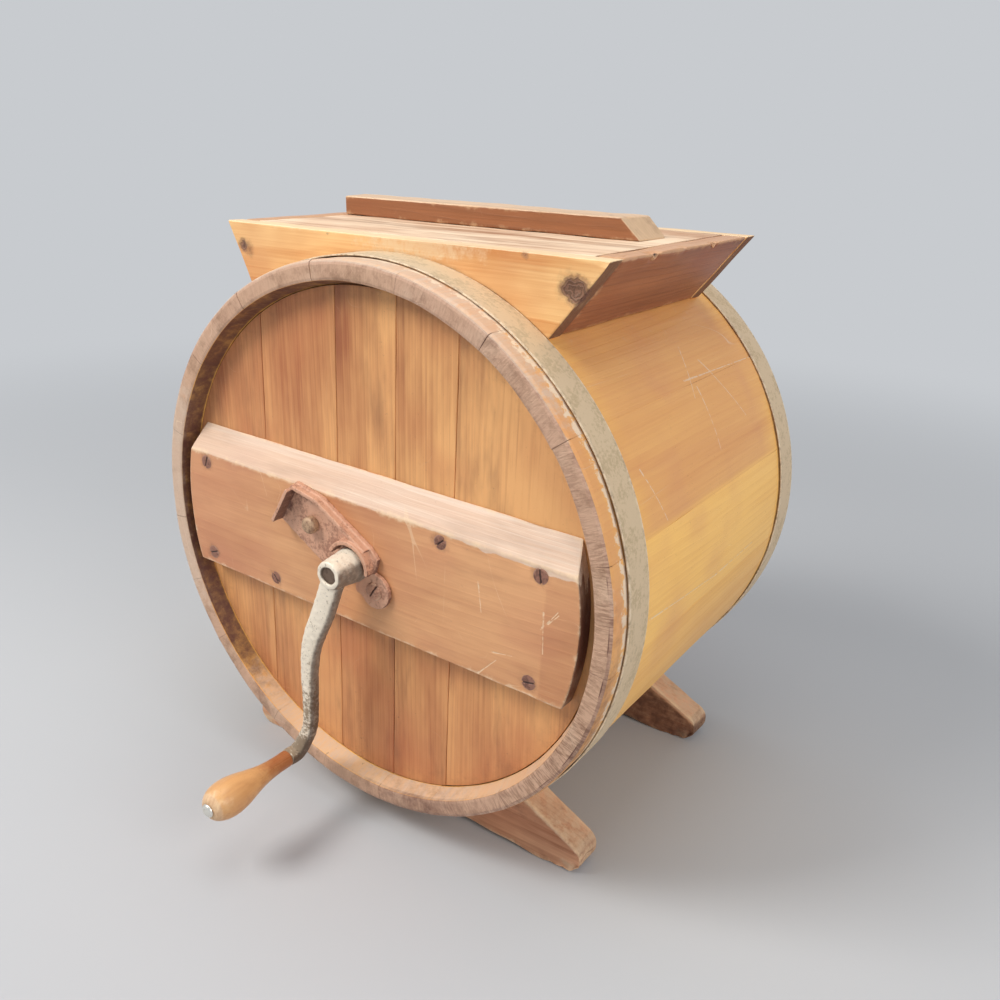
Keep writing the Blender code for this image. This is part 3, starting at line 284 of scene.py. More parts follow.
def board(
    section, length: float, stations: int, spread: int = 18, radius: float = 0.0009,
    wear: float = 0.002, pull: float = 0.8,
) -> Surface:
    """Solid board whose section runs along it, with every edge rounded.

    Towards each end the section shrinks along a quarter circle, and a fan of smaller
    sections closes it.

    Args:
        section: Function from shares along the board to section corners (rows, corners, 3).
        length: Length of the run in metres.
        stations: Sections between the rounded ends.
        spread: Points on each side of a section.
        radius: Rounding of the edges.
        wear: How far from an edge its wear fades.
        pull: How far the stations are drawn towards the ends.

    Returns:
        The board with its edge mark.
    """
    phi = np.radians((90.0, 60.0, 30.0))
    margin = radius / length
    tip = margin * (1.0 - np.sin(phi))
    runs = np.concatenate((tip, margin + ease(stations, pull) * (1.0 - 2.0 * margin), 1.0 - tip[::-1]))
    shrink = radius * (1.0 - np.cos(phi))
    inset = np.concatenate((shrink, np.zeros(stations), shrink[::-1]))
    corners = section(runs)
    inward = unit(np.roll(corners, 1, axis=1) - corners) + unit(np.roll(corners, -1, axis=1) - corners)
    sides = np.linalg.norm(np.roll(corners, -1, axis=1) - corners, axis=-1).min(axis=1)
    fit = np.minimum(radius - 0.8 * inset, 0.45 * sides)
    points, near = rounded_loops(corners + inset[:, None, None] * inward, fit, spread)
    gap = np.minimum(near, (np.minimum(runs, 1.0 - runs) * length)[:, None])
    scales = np.array((0.3, 0.75, 0.93, 0.98))[:, None, None]
    start, stop = points[0], points[-1]
    first = start.mean(axis=0) + (start - start.mean(axis=0)) * scales
    last = stop.mean(axis=0) + (stop - stop.mean(axis=0)) * scales[::-1]
    edge = np.vstack((
        np.exp(-np.linalg.norm(first - start, axis=-1) / wear),
        np.exp(-gap / wear),
        np.exp(-np.linalg.norm(last - stop, axis=-1) / wear)))
    return Surface(np.concatenate((first, points, last)), {"edge": edge})


def turned(profile: Array, centre: Place, sides: int, ring: bool = False) -> Surface:
    """Turned surface about a line along Y: (cx + r cos a, y, cz + r sin a).

    Args:
        profile: Radii and Y places, one pair a row.
        centre: A place on the line.
        sides: Points round it.
        ring: True for a profile that goes round on itself.

    Returns:
        The surface, its rows along the profile.
    """
    angle = np.linspace(0.0, 2.0 * np.pi, sides, endpoint=False)[None]
    r, y = profile[:, :1], profile[:, 1:2]
    places = (centre[0] + r * np.cos(angle), y + centre[1], centre[2] + r * np.sin(angle))
    return Surface(np.stack(np.broadcast_arrays(*places), axis=-1), ring=ring)


@dataclass(frozen=True)
class Barrel:
    """Places and sizes that every sub-assembly shares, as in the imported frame."""

    front: float = -0.0976
    length: float = 0.304
    height: float = 0.2235
    radius: float = 0.1982
    inner: float = 0.1817
    chime: float = 0.1845

    def at(self, x: float, y: float, z: float) -> Place:
        """World place of a barrel place, whose Y starts at the front edge of the staves."""
        return (x, y + self.front, z + self.height)

    def shift(self) -> Array:
        """What is added to a barrel place."""
        return np.array((0.0, self.front, self.height))


BARREL = Barrel()


class Graph:
    """Short way to add and join the nodes of one tree."""

    def __init__(self, tree: bpy.types.NodeTree) -> None:
        """Keep the tree."""
        self.tree = tree

    def add(self, kind: str, feeds: dict | None = None, **settings) -> bpy.types.Node:
        """Add a node.

        Args:
            kind: Node type without its ShaderNode prefix.
            feeds: Sockets by name or number, and what feeds them.
            settings: Properties of the node.

        Returns:
            The node.
        """
        node = self.tree.nodes.new(f"ShaderNode{kind}")
        for key, value in settings.items():
            setattr(node, key, value)
        for key, source in (feeds or {}).items():
            self.feed(node.inputs[key], source)
        return node

    def feed(self, socket: Socket, source) -> None:
        """Link a socket into another, or set its value."""
        if isinstance(source, bpy.types.NodeSocket):
            self.tree.links.new(source, socket)
        elif isinstance(source, tuple) and socket.type == "RGBA":
            socket.default_value = (*source, 1.0)
        else:
            socket.default_value = source

    def calc(self, operation: str, one, two=0.0, three=0.0, clamp: bool = False) -> Socket:
        """Result of a Math node."""
        return self.add("Math", {0: one, 1: two, 2: three}, operation=operation, use_clamp=clamp).outputs[0]

    def line(self, value, slope, base, clamp: bool = False) -> Socket:
        """Base plus slope times the value."""
        return self.calc("MULTIPLY_ADD", value, slope, base, clamp)

    def times(self, one, *more) -> Socket:
        """Product of some values."""
        for value in more:
            one = self.calc("MULTIPLY", one, value)
        return one

    def sway(self, value, amount, base) -> Socket:
        """Base plus amount times the value's distance from a half."""
        return self.line(self.calc("SUBTRACT", value, 0.5), amount, base)

    def uneven(self, mark, place: Socket, scale: float, amount: float) -> Socket:
        """A mark with noise added, so that it ends raggedly."""
        noise = self.cloud(place, scale, detail=4.0, rough=0.7)
        return self.calc("ADD", mark, self.line(noise, amount, -amount / 2.0))

    def vectors(self, operation: str, *feeds, output: str | int = 0) -> Socket:
        """Result of a Vector Math node."""
        return self.add("VectorMath", dict(enumerate(feeds)), operation=operation).outputs[output]

    def blend(self, factor, one, two) -> Socket:
        """Mix of two colours."""
        return self.add("Mix", {0: factor, 6: one, 7: two}, data_type="RGBA").outputs[2]

    def span(self, value, low: float, high: float, bottom: float = 0.0, top: float = 1.0) -> Socket:
        """Smooth step of a value between two limits."""
        feeds = {"Value": value, "From Min": low, "From Max": high, "To Min": bottom, "To Max": top}
        return self.add("MapRange", feeds, interpolation_type="SMOOTHSTEP").outputs[0]

    def stretch(self, vector, scale: Place = ONE, shift: Place = ZERO, turn: Place = ZERO) -> Socket:
        """Vector moved, turned and scaled."""
        feeds = {"Vector": vector, "Location": shift, "Rotation": turn, "Scale": scale}
        return self.add("Mapping", feeds).outputs[0]

    def cloud(self, vector, scale: float = 1.0, detail: float = 2.0, rough: float = 0.5) -> Socket:
        """Noise value."""
        feeds = {"Vector": vector, "Scale": scale, "Detail": detail, "Roughness": rough}
        return self.add("TexNoise", feeds).outputs[0]

    def attribute(self, name: str, output: str = "Fac") -> Socket:
        """A mark of the surface."""
        return self.add("Attribute", attribute_name=name).outputs[output]

    def coordinates(self) -> Socket:
        """Object coordinates."""
        return self.add("TexCoord").outputs["Object"]


class Effect(Enum):
    """Effects that several finishes share, each a node group built once."""

    GRAIN = "grain_effect"
    RUBBED = "rubbed_effect"
    SCRATCHES = "scratches_effect"
    SPECKS = "specks_effect"
    STROKE = "stroke_effect"
    KNOT = "knot_effect"

    def tree(self) -> bpy.types.NodeTree:
        """The group's tree, made the first time that it is asked for."""
        made = bpy.data.node_groups.get(self.value)
        return made or getattr(self, f"_make_{self.name.lower()}")()

    def _start(self, inputs: dict[str, str], outputs: tuple[str, ...]):
        """New group with named sockets.

        Args:
            inputs: Input names and their socket types.
            outputs: Names of value outputs.

        Returns:
            The graph, the inputs' sockets and the outputs' sockets.
        """
        tree = bpy.data.node_groups.new(self.value, "ShaderNodeTree")
        for name, kind in inputs.items():
            tree.interface.new_socket(name=name, in_out="INPUT", socket_type=f"NodeSocket{kind}")
        for name in outputs:
            tree.interface.new_socket(name=name, in_out="OUTPUT", socket_type="NodeSocketFloat")
        start, stop = (tree.nodes.new(f"NodeGroup{side}") for side in ("Input", "Output"))
        return Graph(tree), start.outputs, stop.inputs

    def _make_grain(self) -> bpy.types.NodeTree:
        """Growth rings, fibres and clouds of wood whose grain runs along the vector's Y."""
        inputs = {"Vector": "Vector", "Ring": "Float", "Bend": "Float"}
        g, start, stop = self._start(inputs, ("Rings", "Fibres", "Clouds"))
        vector = start["Vector"]
        axes = g.add("SeparateXYZ", {0: vector})
        warp = g.cloud(g.stretch(vector, (9.0, 1.6, 9.0)), detail=1.5)
        tilt = g.line(axes.outputs[2], 0.6, axes.outputs[0])
        across = g.sway(warp, start["Bend"], tilt)
        phase = g.calc("FRACT", g.calc("DIVIDE", across, start["Ring"]))
        late = g.calc("POWER", phase, 3.0)
        fade = g.calc("SUBTRACT", 1.0, g.span(phase, 0.88, 1.0))
        fine = g.cloud(g.stretch(vector, (620.0, 7.0, 620.0)), detail=2.0, rough=0.65)
        wide = g.cloud(g.stretch(vector, (85.0, 2.4, 85.0)), detail=2.0)
        g.feed(stop["Rings"], g.times(late, fade))
        g.feed(stop["Fibres"], g.line(wide, 0.5, g.times(fine, 0.5)))
        g.feed(stop["Clouds"], g.cloud(g.stretch(vector, (24.0, 6.0, 24.0)), detail=4.0, rough=0.62))
        return g.tree

    def _make_rubbed(self) -> bpy.types.NodeTree:
        """Where an edge has been rubbed bare: the edge mark broken up by noise."""
        g, start, stop = self._start({"Vector": "Vector", "Edge": "Float", "Amount": "Float"}, ("Mask",))
        level = g.times(start["Edge"], start["Amount"])
        broken = g.uneven(level, start["Vector"], 90.0, 1.5)
        g.feed(stop["Mask"], g.times(g.span(broken, 0.25, 0.75), g.span(level, 0.02, 0.2)))
        return g.tree

    def _make_scratches(self) -> bpy.types.NodeTree:
        """Thin broken lines, where a stretched noise passes its middle value."""
        g, start, stop = self._start({"Vector": "Vector", "Width": "Float", "Amount": "Float"}, ("Mask",))
        vector = start["Vector"]
        total = None
        for turn, shift in ((0.5, 3.1), (-0.75, 7.7), (1.35, 12.3)):
            spun = g.stretch(vector, ONE, (shift, shift, shift), (turn, turn, turn))
            value = g.cloud(g.stretch(spun, (30.0, 0.9, 30.0)), detail=0.0)
            near = g.calc("ABSOLUTE", g.calc("SUBTRACT", value, 0.5))
            line = g.calc("LESS_THAN", near, start["Width"])
            broken = g.span(g.cloud(g.stretch(spun, (34.0, 9.0, 34.0)), detail=2.0), 0.6, 0.7)
            part = g.times(line, broken)
            total = part if total is None else g.calc("MAXIMUM", total, part)
        g.feed(stop["Mask"], g.times(total, start["Amount"]))
        return g.tree

    def _make_specks(self) -> bpy.types.NodeTree:
        """Small dents and specks: middles of some Voronoi cells."""
        g, start, stop = self._start({"Vector": "Vector", "Scale": "Float", "Amount": "Float"}, ("Mask",))
        vector = start["Vector"]
        drift = g.add("TexNoise", {"Vector": vector, "Scale": 300.0}).outputs["Color"]
        moved = g.vectors("MULTIPLY_ADD", vector, drift, (0.006, 0.006, 0.006))
        far = g.add("TexVoronoi", {"Vector": moved, "Scale": start["Scale"]})
        lot = g.add("SeparateXYZ", {0: far.outputs["Color"]}).outputs[0]
        size = g.times(g.span(lot, 0.72, 1.0), 0.2)
        inside = g.span(g.calc("SUBTRACT", size, far.outputs["Distance"]), 0.0, 0.08)
        g.feed(stop["Mask"], g.times(inside, start["Amount"]))
        return g.tree

    def _make_stroke(self) -> bpy.types.NodeTree:
        """One long scratch: near the straight line from Start along Way, uneven in width.

        The share of the way is (p - Start) . Way / Way . Way, held within 0 to 1.
        """
        inputs = {"Vector": "Vector", "Start": "Vector", "Way": "Vector", "Width": "Float"}
        g, start, stop = self._start(inputs, ("Mask",))
        vector, way = start["Vector"], start["Way"]
        wander = g.add("TexNoise", {"Vector": vector, "Scale": 160.0, "Detail": 2.0}).outputs["Color"]
        wander = g.vectors("SUBTRACT", wander, (0.5, 0.5, 0.5))
        moved = g.vectors("MULTIPLY_ADD", wander, (0.0006, 0.0006, 0.0006), vector)
        gone = g.vectors("SUBTRACT", moved, start["Start"])
        dot = g.vectors("DOT_PRODUCT", gone, way, output="Value")
        square = g.vectors("DOT_PRODUCT", way, way, output="Value")
        share = g.calc("DIVIDE", dot, square, clamp=True)
        foot = g.add("VectorMath", {0: way, "Scale": share}, operation="SCALE").outputs[0]
        away = g.vectors("DISTANCE", gone, foot, output="Value")
        narrow = g.times(start["Width"], g.span(share, 0.0, 0.5, 1.0, 0.55))
        line = g.calc("SUBTRACT", 1.0, g.calc("DIVIDE", away, narrow), clamp=True)
        broken = g.span(g.cloud(vector, 260.0, detail=3.0), 0.34, 0.52)
        g.feed(stop["Mask"], g.times(g.span(line, 0.0, 0.5), broken))
        return g.tree

    def _make_knot(self) -> bpy.types.NodeTree:
        """A knot: wavy rings round its middle, where the knot mark is one, and where it shows."""
        g, start, stop = self._start({"Vector": "Vector", "Mark": "Float"}, ("Rings", "Mask"))
        waves = g.calc("SUBTRACT", g.cloud(start["Vector"], 240.0, detail=4.0, rough=0.6), 0.5)
        wavy = g.line(waves, 0.55, start["Mark"])
        waved = g.calc("SINE", g.times(wavy, 34.0))
        g.feed(stop["Rings"], g.span(waved, -0.9, 0.9, 0.15, 1.0))
        shown = g.span(start["Mark"], 0.02, 0.3, 0.0, 0.9)
        g.feed(stop["Mask"], g.times(g.span(wavy, 0.16, 0.66), shown))
        return g.tree

    def place(self, graph: Graph, **feeds) -> bpy.types.Node:
        """Put the group in a material.

        Args:
            graph: The material's graph.
            feeds: Inputs by name.

        Returns:
            The group node.
        """
        node = graph.tree.nodes.new("ShaderNodeGroup")
        node.node_tree = self.tree()
        for name, source in feeds.items():
            graph.feed(node.inputs[name], source)
        return node


def new_material(name: str) -> tuple[Graph, bpy.types.Node]:
    """Empty material with a Principled shader.

    Args:
        name: Name of the material.

    Returns:
        Its graph and the shader.
    """
    material = bpy.data.materials.new(name)
    material.use_nodes = True
    return Graph(material.node_tree), material.node_tree.nodes["Principled BSDF"]


@dataclass(frozen=True)
class Wood:
    """Old softwood with its grain, end grain, worn edges, scratches and staining, and with the painted light
    and shade that some of its pieces mark.
    """

    name: str
    pale: Tint
    dark: Tint
    worn: Tint = rgb(232, 200, 160)
    end: Tint = rgb(190, 154, 130)
    stain_and_shade: Tint = rgb(92, 56, 40)
    paled: Tint = rgb(238, 206, 184)
    red: Tint = rgb(196, 116, 74)
    ring: float = 0.0052
    bend: float = 0.05
    rings: float = 0.32
    fibres: float = 0.9
    clouds: float = 0.7
    wear: float = 0.5
    scratch: float = 0.5
    rough: float = 0.46
    hatch: float = 0.4
    blotches: float = 0.0
    knot: Tint = rgb(132, 94, 80)
    knot_line: Tint = rgb(72, 46, 42)
    soil: float = 0.3
    soil_and_shade_lines: tuple[float, ...] = ()
    chip_line: float | None = None
    along: Axis | None = None
    strokes: tuple[tuple[Place, Place], ...] = ()
    rolled: bool = False

    def material(self) -> bpy.types.Material:
        """The finish's material, made the first time that it is asked for."""
        return bpy.data.materials.get(f"{self.name}_look") or self._make()

    def _make(self) -> bpy.types.Material:
        """Build the material's nodes.

        Returns:
            The material.
        """
        g, shader = new_material(f"{self.name}_look")
        place = g.coordinates()
        vector = self._grain_vector(g, place)
        grain = Effect.GRAIN.place(g, Vector=vector, Ring=self.ring, Bend=self.bend)
        rings, fibres, clouds = (grain.outputs[name] for name in ("Rings", "Fibres", "Clouds"))
        colour = self._grown(g, place, rings, fibres, clouds)
        end = g.attribute("end")
        hatch = g.cloud(g.stretch(vector, (760.0, 60.0, 110.0)), detail=3.0, rough=0.7)
        colour = g.blend(g.times(end, 0.92), colour, self._end_grain(g, place, hatch))
        # The pale mark lightens the wood: bleaching, and on the staves also a painted highlight on the lit
        # lower recess wall and on the left of the rim.
        colour = g.blend(self._weathered(g, place, fibres), colour, self.paled)
        rubbed = Effect.RUBBED.place(g, Vector=place, Edge=g.attribute("edge"), Amount=self.wear).outputs[0]
        colour = g.blend(g.times(rubbed, 0.7), colour, self.worn)
        scratches = self._scratched(g, place)
        colour = g.blend(scratches, colour, self.worn)
        moved = g.stretch(place, shift=(0.7, 0.3, 0.5))
        chips = Effect.SPECKS.place(g, Vector=moved, Scale=95.0, Amount=0.5).outputs[0]
        colour = g.blend(chips, colour, self.worn)
        colour = self._lined(g, place, colour)
        specks = Effect.SPECKS.place(g, Vector=place, Scale=70.0, Amount=0.55).outputs[0]
        colour = g.blend(specks, colour, self.stain_and_shade)
        knots = Effect.KNOT.place(g, Vector=place, Mark=g.attribute("knot"))
        knot = g.blend(knots.outputs["Rings"], self.knot_line, self.knot)
        colour = g.blend(knots.outputs["Mask"], colour, knot)
        if self.blotches:
            smear = g.cloud(g.stretch(vector, (42.0, 9.0, 42.0), (5.0, 3.0, 2.0)), detail=4.0, rough=0.6)
            colour = g.blend(g.span(smear, 0.5, 0.75, 0.0, self.blotches), colour, self.stain_and_shade)
        # The stain_and_shade mark darkens the wood: real staining, and painted shade where a piece marks it,
        # as on the shaded recess wall, the batten's ends, the head's rim, the rear foot and the sides turned
        # away from the light.
        stain_and_shade = g.attribute("stain_and_shade")
        stained_and_shaded = g.times(g.span(g.uneven(stain_and_shade, place, 120.0, 0.7), 0.2, 0.9), g.span(stain_and_shade, 0.02, 0.2))
        g.feed(shader.inputs["Base Color"], g.blend(stained_and_shaded, colour, self.stain_and_shade))
        level = g.line(end, 0.25, g.sway(fibres, 0.35, self.rough))
        g.feed(shader.inputs["Roughness"], g.line(rubbed, 0.15, level, clamp=True))
        shader.inputs["Specular IOR Level"].default_value = 0.4
        height = g.line(hatch, g.times(end, 1.6), g.line(rings, 0.35, fibres))
        height = g.line(g.times(knots.outputs["Rings"], knots.outputs["Mask"]), -1.0, height)
        height = g.line(scratches, -0.8, g.line(specks, -1.2, height))
        bump = g.add("Bump", {"Height": height, "Strength": 0.5, "Distance": 0.0006})
        g.feed(shader.inputs["Normal"], bump.outputs[0])
        return bpy.data.materials[f"{self.name}_look"]

    def _grain_vector(self, g: Graph, place: Socket) -> Socket:
        """Coordinates whose Y runs with the grain: the surface's own, or the object's turned."""
        if self.along is None:
            return g.attribute("grain", "Vector")
        right = math.pi / 2
        turn = {Axis.X: (0.0, 0.0, right), Axis.Y: ZERO, Axis.Z: (right, 0.0, 0.0)}[self.along]
        return g.stretch(place, ONE, (0.031, 0.047, 0.013), turn)

    def _grown(self, g: Graph, place: Socket, rings: Socket, fibres: Socket, clouds: Socket) -> Socket:
        """Colour along the grain: pale to dark by rings, fibres, clouds and tone, with red clouds.

        Args:
            g: The material's graph.
            place: Object coordinates.
            rings, fibres, clouds: What the grain effect gives.

        Returns:
            The colour.
        """
        depth = g.line(rings, self.rings, 0.12)
        depth = g.sway(fibres, self.fibres * 1.6, depth)
        depth = g.sway(clouds, self.clouds * 1.6, depth)
        depth = g.calc("ADD", depth, g.line(g.attribute("tone"), 0.6, -0.1), clamp=True)
        redness = g.span(g.cloud(place, 14.0, detail=2.0), 0.45, 0.75, 0.0, 0.35)
        redness = g.calc("ADD", redness, g.attribute("ruddy"), clamp=True)
        return g.blend(redness, g.blend(depth, self.pale, self.dark), self.red)

    def _end_grain(self, g: Graph, place: Socket, hatch: Socket) -> Socket:
        """Colour of end grain: dark cuts, pale patches and dirt.

        Args:
            g: The material's graph.
            place: Object coordinates.
            hatch: Noise drawn out across the grain.

        Returns:
            The colour.
        """
        patches = g.cloud(place, 22.0, detail=3.0, rough=0.6)
        cuts = g.times(g.span(hatch, 0.42, 0.62), g.span(patches, 0.35, 0.6, 0.35, 1.0))
        colour = g.blend(g.times(cuts, g.times(g.attribute("hatch"), self.hatch)), self.end, self.stain_and_shade)
        colour = g.blend(g.span(patches, 0.5, 0.75, 0.0, 0.45), colour, self.paled)
        soil = g.cloud(g.stretch(place, shift=(0.4, 0.9, 0.2)), 60.0, detail=5.0, rough=0.7)
        return g.blend(g.span(soil, 0.46, 0.72, 0.0, self.soil), colour, self.stain_and_shade)

    def _weathered(self, g: Graph, place: Socket, fibres: Socket) -> Socket:
        """How far the wood is paled: the pale mark made ragged, and streaked along the grain. The mark is
        bleaching, and on the staves also painted highlights.
        """
        pale = g.attribute("pale")
        paler = g.times(g.span(g.uneven(pale, place, 160.0, 0.9), 0.35, 0.75), g.span(pale, 0.02, 0.15))
        return g.times(paler, g.span(fibres, 0.3, 0.62, 1.0, 0.62))

    def _scratched(self, g: Graph, place: Socket) -> Socket:
        """Small scratches all over, and the long ones at their places."""
        mask = Effect.SCRATCHES.place(g, Vector=place, Width=0.0013, Amount=self.scratch).outputs[0]
        skin = self._unrolled(g, place) if self.rolled else place
        for ends in self.strokes:
            first, last = (self._flat(at) for at in ends) if self.rolled else ends
            way = tuple(b - a for a, b in zip(first, last))
            stroke = Effect.STROKE.place(g, Vector=skin, Start=first, Way=way, Width=0.00085).outputs[0]
            mask = g.calc("MAXIMUM", mask, g.times(stroke, 0.7))
        return mask

    def _flat(self, at: Place) -> Place:
        """Place on the barrel unrolled: arc length R atan2(z, x), Y, and zero."""
        return (BARREL.radius * math.atan2(at[2] - BARREL.height, at[0]), at[1], 0.0)

    def _round(self, g: Graph, place: Socket) -> tuple[Socket, Socket, Socket]:
        """Angle round the barrel, place along it and distance from its middle."""
        across, along, height = g.add("SeparateXYZ", {0: place}).outputs
        height = g.calc("SUBTRACT", height, BARREL.height)
        out = g.calc("SQRT", g.line(height, height, g.times(across, across)))
        return g.calc("ARCTAN2", height, across), along, out

    def _unrolled(self, g: Graph, place: Socket) -> Socket:
        """Object coordinates unrolled as _flat does, with half the distance from the barrel's skin."""
        angle, along, out = self._round(g, place)
        off_skin = g.times(g.calc("SUBTRACT", out, BARREL.radius), 0.5)
        return g.add("CombineXYZ", {0: g.times(angle, BARREL.radius), 1: along, 2: off_skin}).outputs[0]

    def _lined(self, g: Graph, place: Socket, colour: Socket) -> Socket:
        """Soiling and painted shade along listed lines round the barrel, at the hoops' edges on the staves,
        and cream chips beside one of them.

        Args:
            g: The material's graph.
            place: Object coordinates.
            colour: Colour so far.

        Returns:
            The new colour.
        """
        if self.chip_line is None and not self.soil_and_shade_lines:
            return colour
        _, along, out = self._round(g, place)
        ragged = g.cloud(place, 130.0, detail=4.0, rough=0.7)
        if self.chip_line is not None:
            away = g.calc("SUBTRACT", self.chip_line, along)
            near = g.times(g.span(away, 0.0, 0.011, 1.0, 0.0), g.span(away, -0.0004, 0.0))
            chips = g.span(g.line(near, 0.26, ragged), 0.66, 0.74, 0.0, 0.95)
            chips = g.times(chips, g.span(near, 0.0, 0.4), g.span(out, 0.192, 0.194))
            colour = g.blend(chips, colour, self.worn)
        # Darker along each listed line: soiling, and painted shade where a hoop's edge stands off the staves.
        for line in self.soil_and_shade_lines:
            away = g.calc("ABSOLUTE", g.calc("SUBTRACT", along, line))
            darkening = g.times(g.span(away, 0.0003, 0.0018, 0.75, 0.0), g.span(ragged, 0.35, 0.6, 0.45, 1.0))
            colour = g.blend(darkening, colour, self.stain_and_shade)
        return colour


@dataclass(frozen=True)
class Metal:
    """Weathered metal: a base, a darker patina, pits and rubbed edges."""

    name: str
    base: Tint
    patina: Tint
    pit: Tint
    bright: Tint
    spread: float = 0.5
    pits: float = 0.6
    metallic: float = 0.5
    rough: float = 0.55
    bump: float = 0.5
    grade: float = 0.0
    grade_from: float = 0.0
    grade_to: float = 1.0
    mottle: float = 1.4

    def material(self) -> bpy.types.Material:
        """The finish's material, made the first time that it is asked for."""
        return bpy.data.materials.get(f"{self.name}_look") or self._make()

    def _make(self) -> bpy.types.Material:
        """Build the material's nodes.

        Returns:
            The material.
        """
        g, shader = new_material(f"{self.name}_look")
        place = g.coordinates()
        broad = g.cloud(place, 55.0, detail=5.0, rough=0.65)
        fine = g.cloud(place, 420.0, detail=4.0, rough=0.7)
        level = g.sway(fine, 0.9, broad)
        if self.grade:
            height = g.add("SeparateXYZ", {0: place}).outputs[2]
            grade = g.span(height, self.grade_from, self.grade_to, self.grade, -self.grade)
            level = g.calc("ADD", level, grade)
        mask = g.span(level, 0.62 - 0.3 * self.spread, 0.8 - 0.2 * self.spread)
        colour = g.blend(mask, self.base, self.patina)
        specks = Effect.SPECKS.place(g, Vector=place, Scale=330.0, Amount=1.0).outputs[0]
        deep = g.span(g.cloud(place, 700.0, detail=3.0, rough=0.6), 0.6, 0.72)
        pitted = g.times(g.calc("MAXIMUM", specks, g.times(deep, 0.6)), self.pits)
        colour = g.blend(pitted, colour, self.pit)
        rubbed = Effect.RUBBED.place(g, Vector=place, Edge=g.attribute("edge"), Amount=0.8).outputs[0]
        colour = g.blend(rubbed, colour, self.bright)
        # The stain_and_shade mark darkens the metal towards its pit colour: real patina round the crank's
        # hub, soiling and painted shade along the hoops' edges, darker screw slots, and painted shade on the
        # latch's ear and on faces turned away from the light.
        stain_and_shade = g.attribute("stain_and_shade")
        blot = g.span(g.uneven(stain_and_shade, place, 240.0, self.mottle), 0.2, 0.8)
        stained_and_shaded = g.times(blot, g.span(stain_and_shade, 0.02, 0.2, 0.0, 0.85))
        g.feed(shader.inputs["Base Color"], g.blend(stained_and_shaded, colour, self.pit))
        metallic = g.line(mask, -0.5 * self.metallic, self.metallic, clamp=True)
        g.feed(shader.inputs["Metallic"], metallic)
        g.feed(shader.inputs["Roughness"], g.line(mask, 0.2, self.rough, clamp=True))
        height = g.line(pitted, -0.8, g.line(fine, 0.5, broad))
        bump = g.add("Bump", {"Height": height, "Strength": self.bump, "Distance": 0.0007})
        g.feed(shader.inputs["Normal"], bump.outputs[0])
        return bpy.data.materials[f"{self.name}_look"]


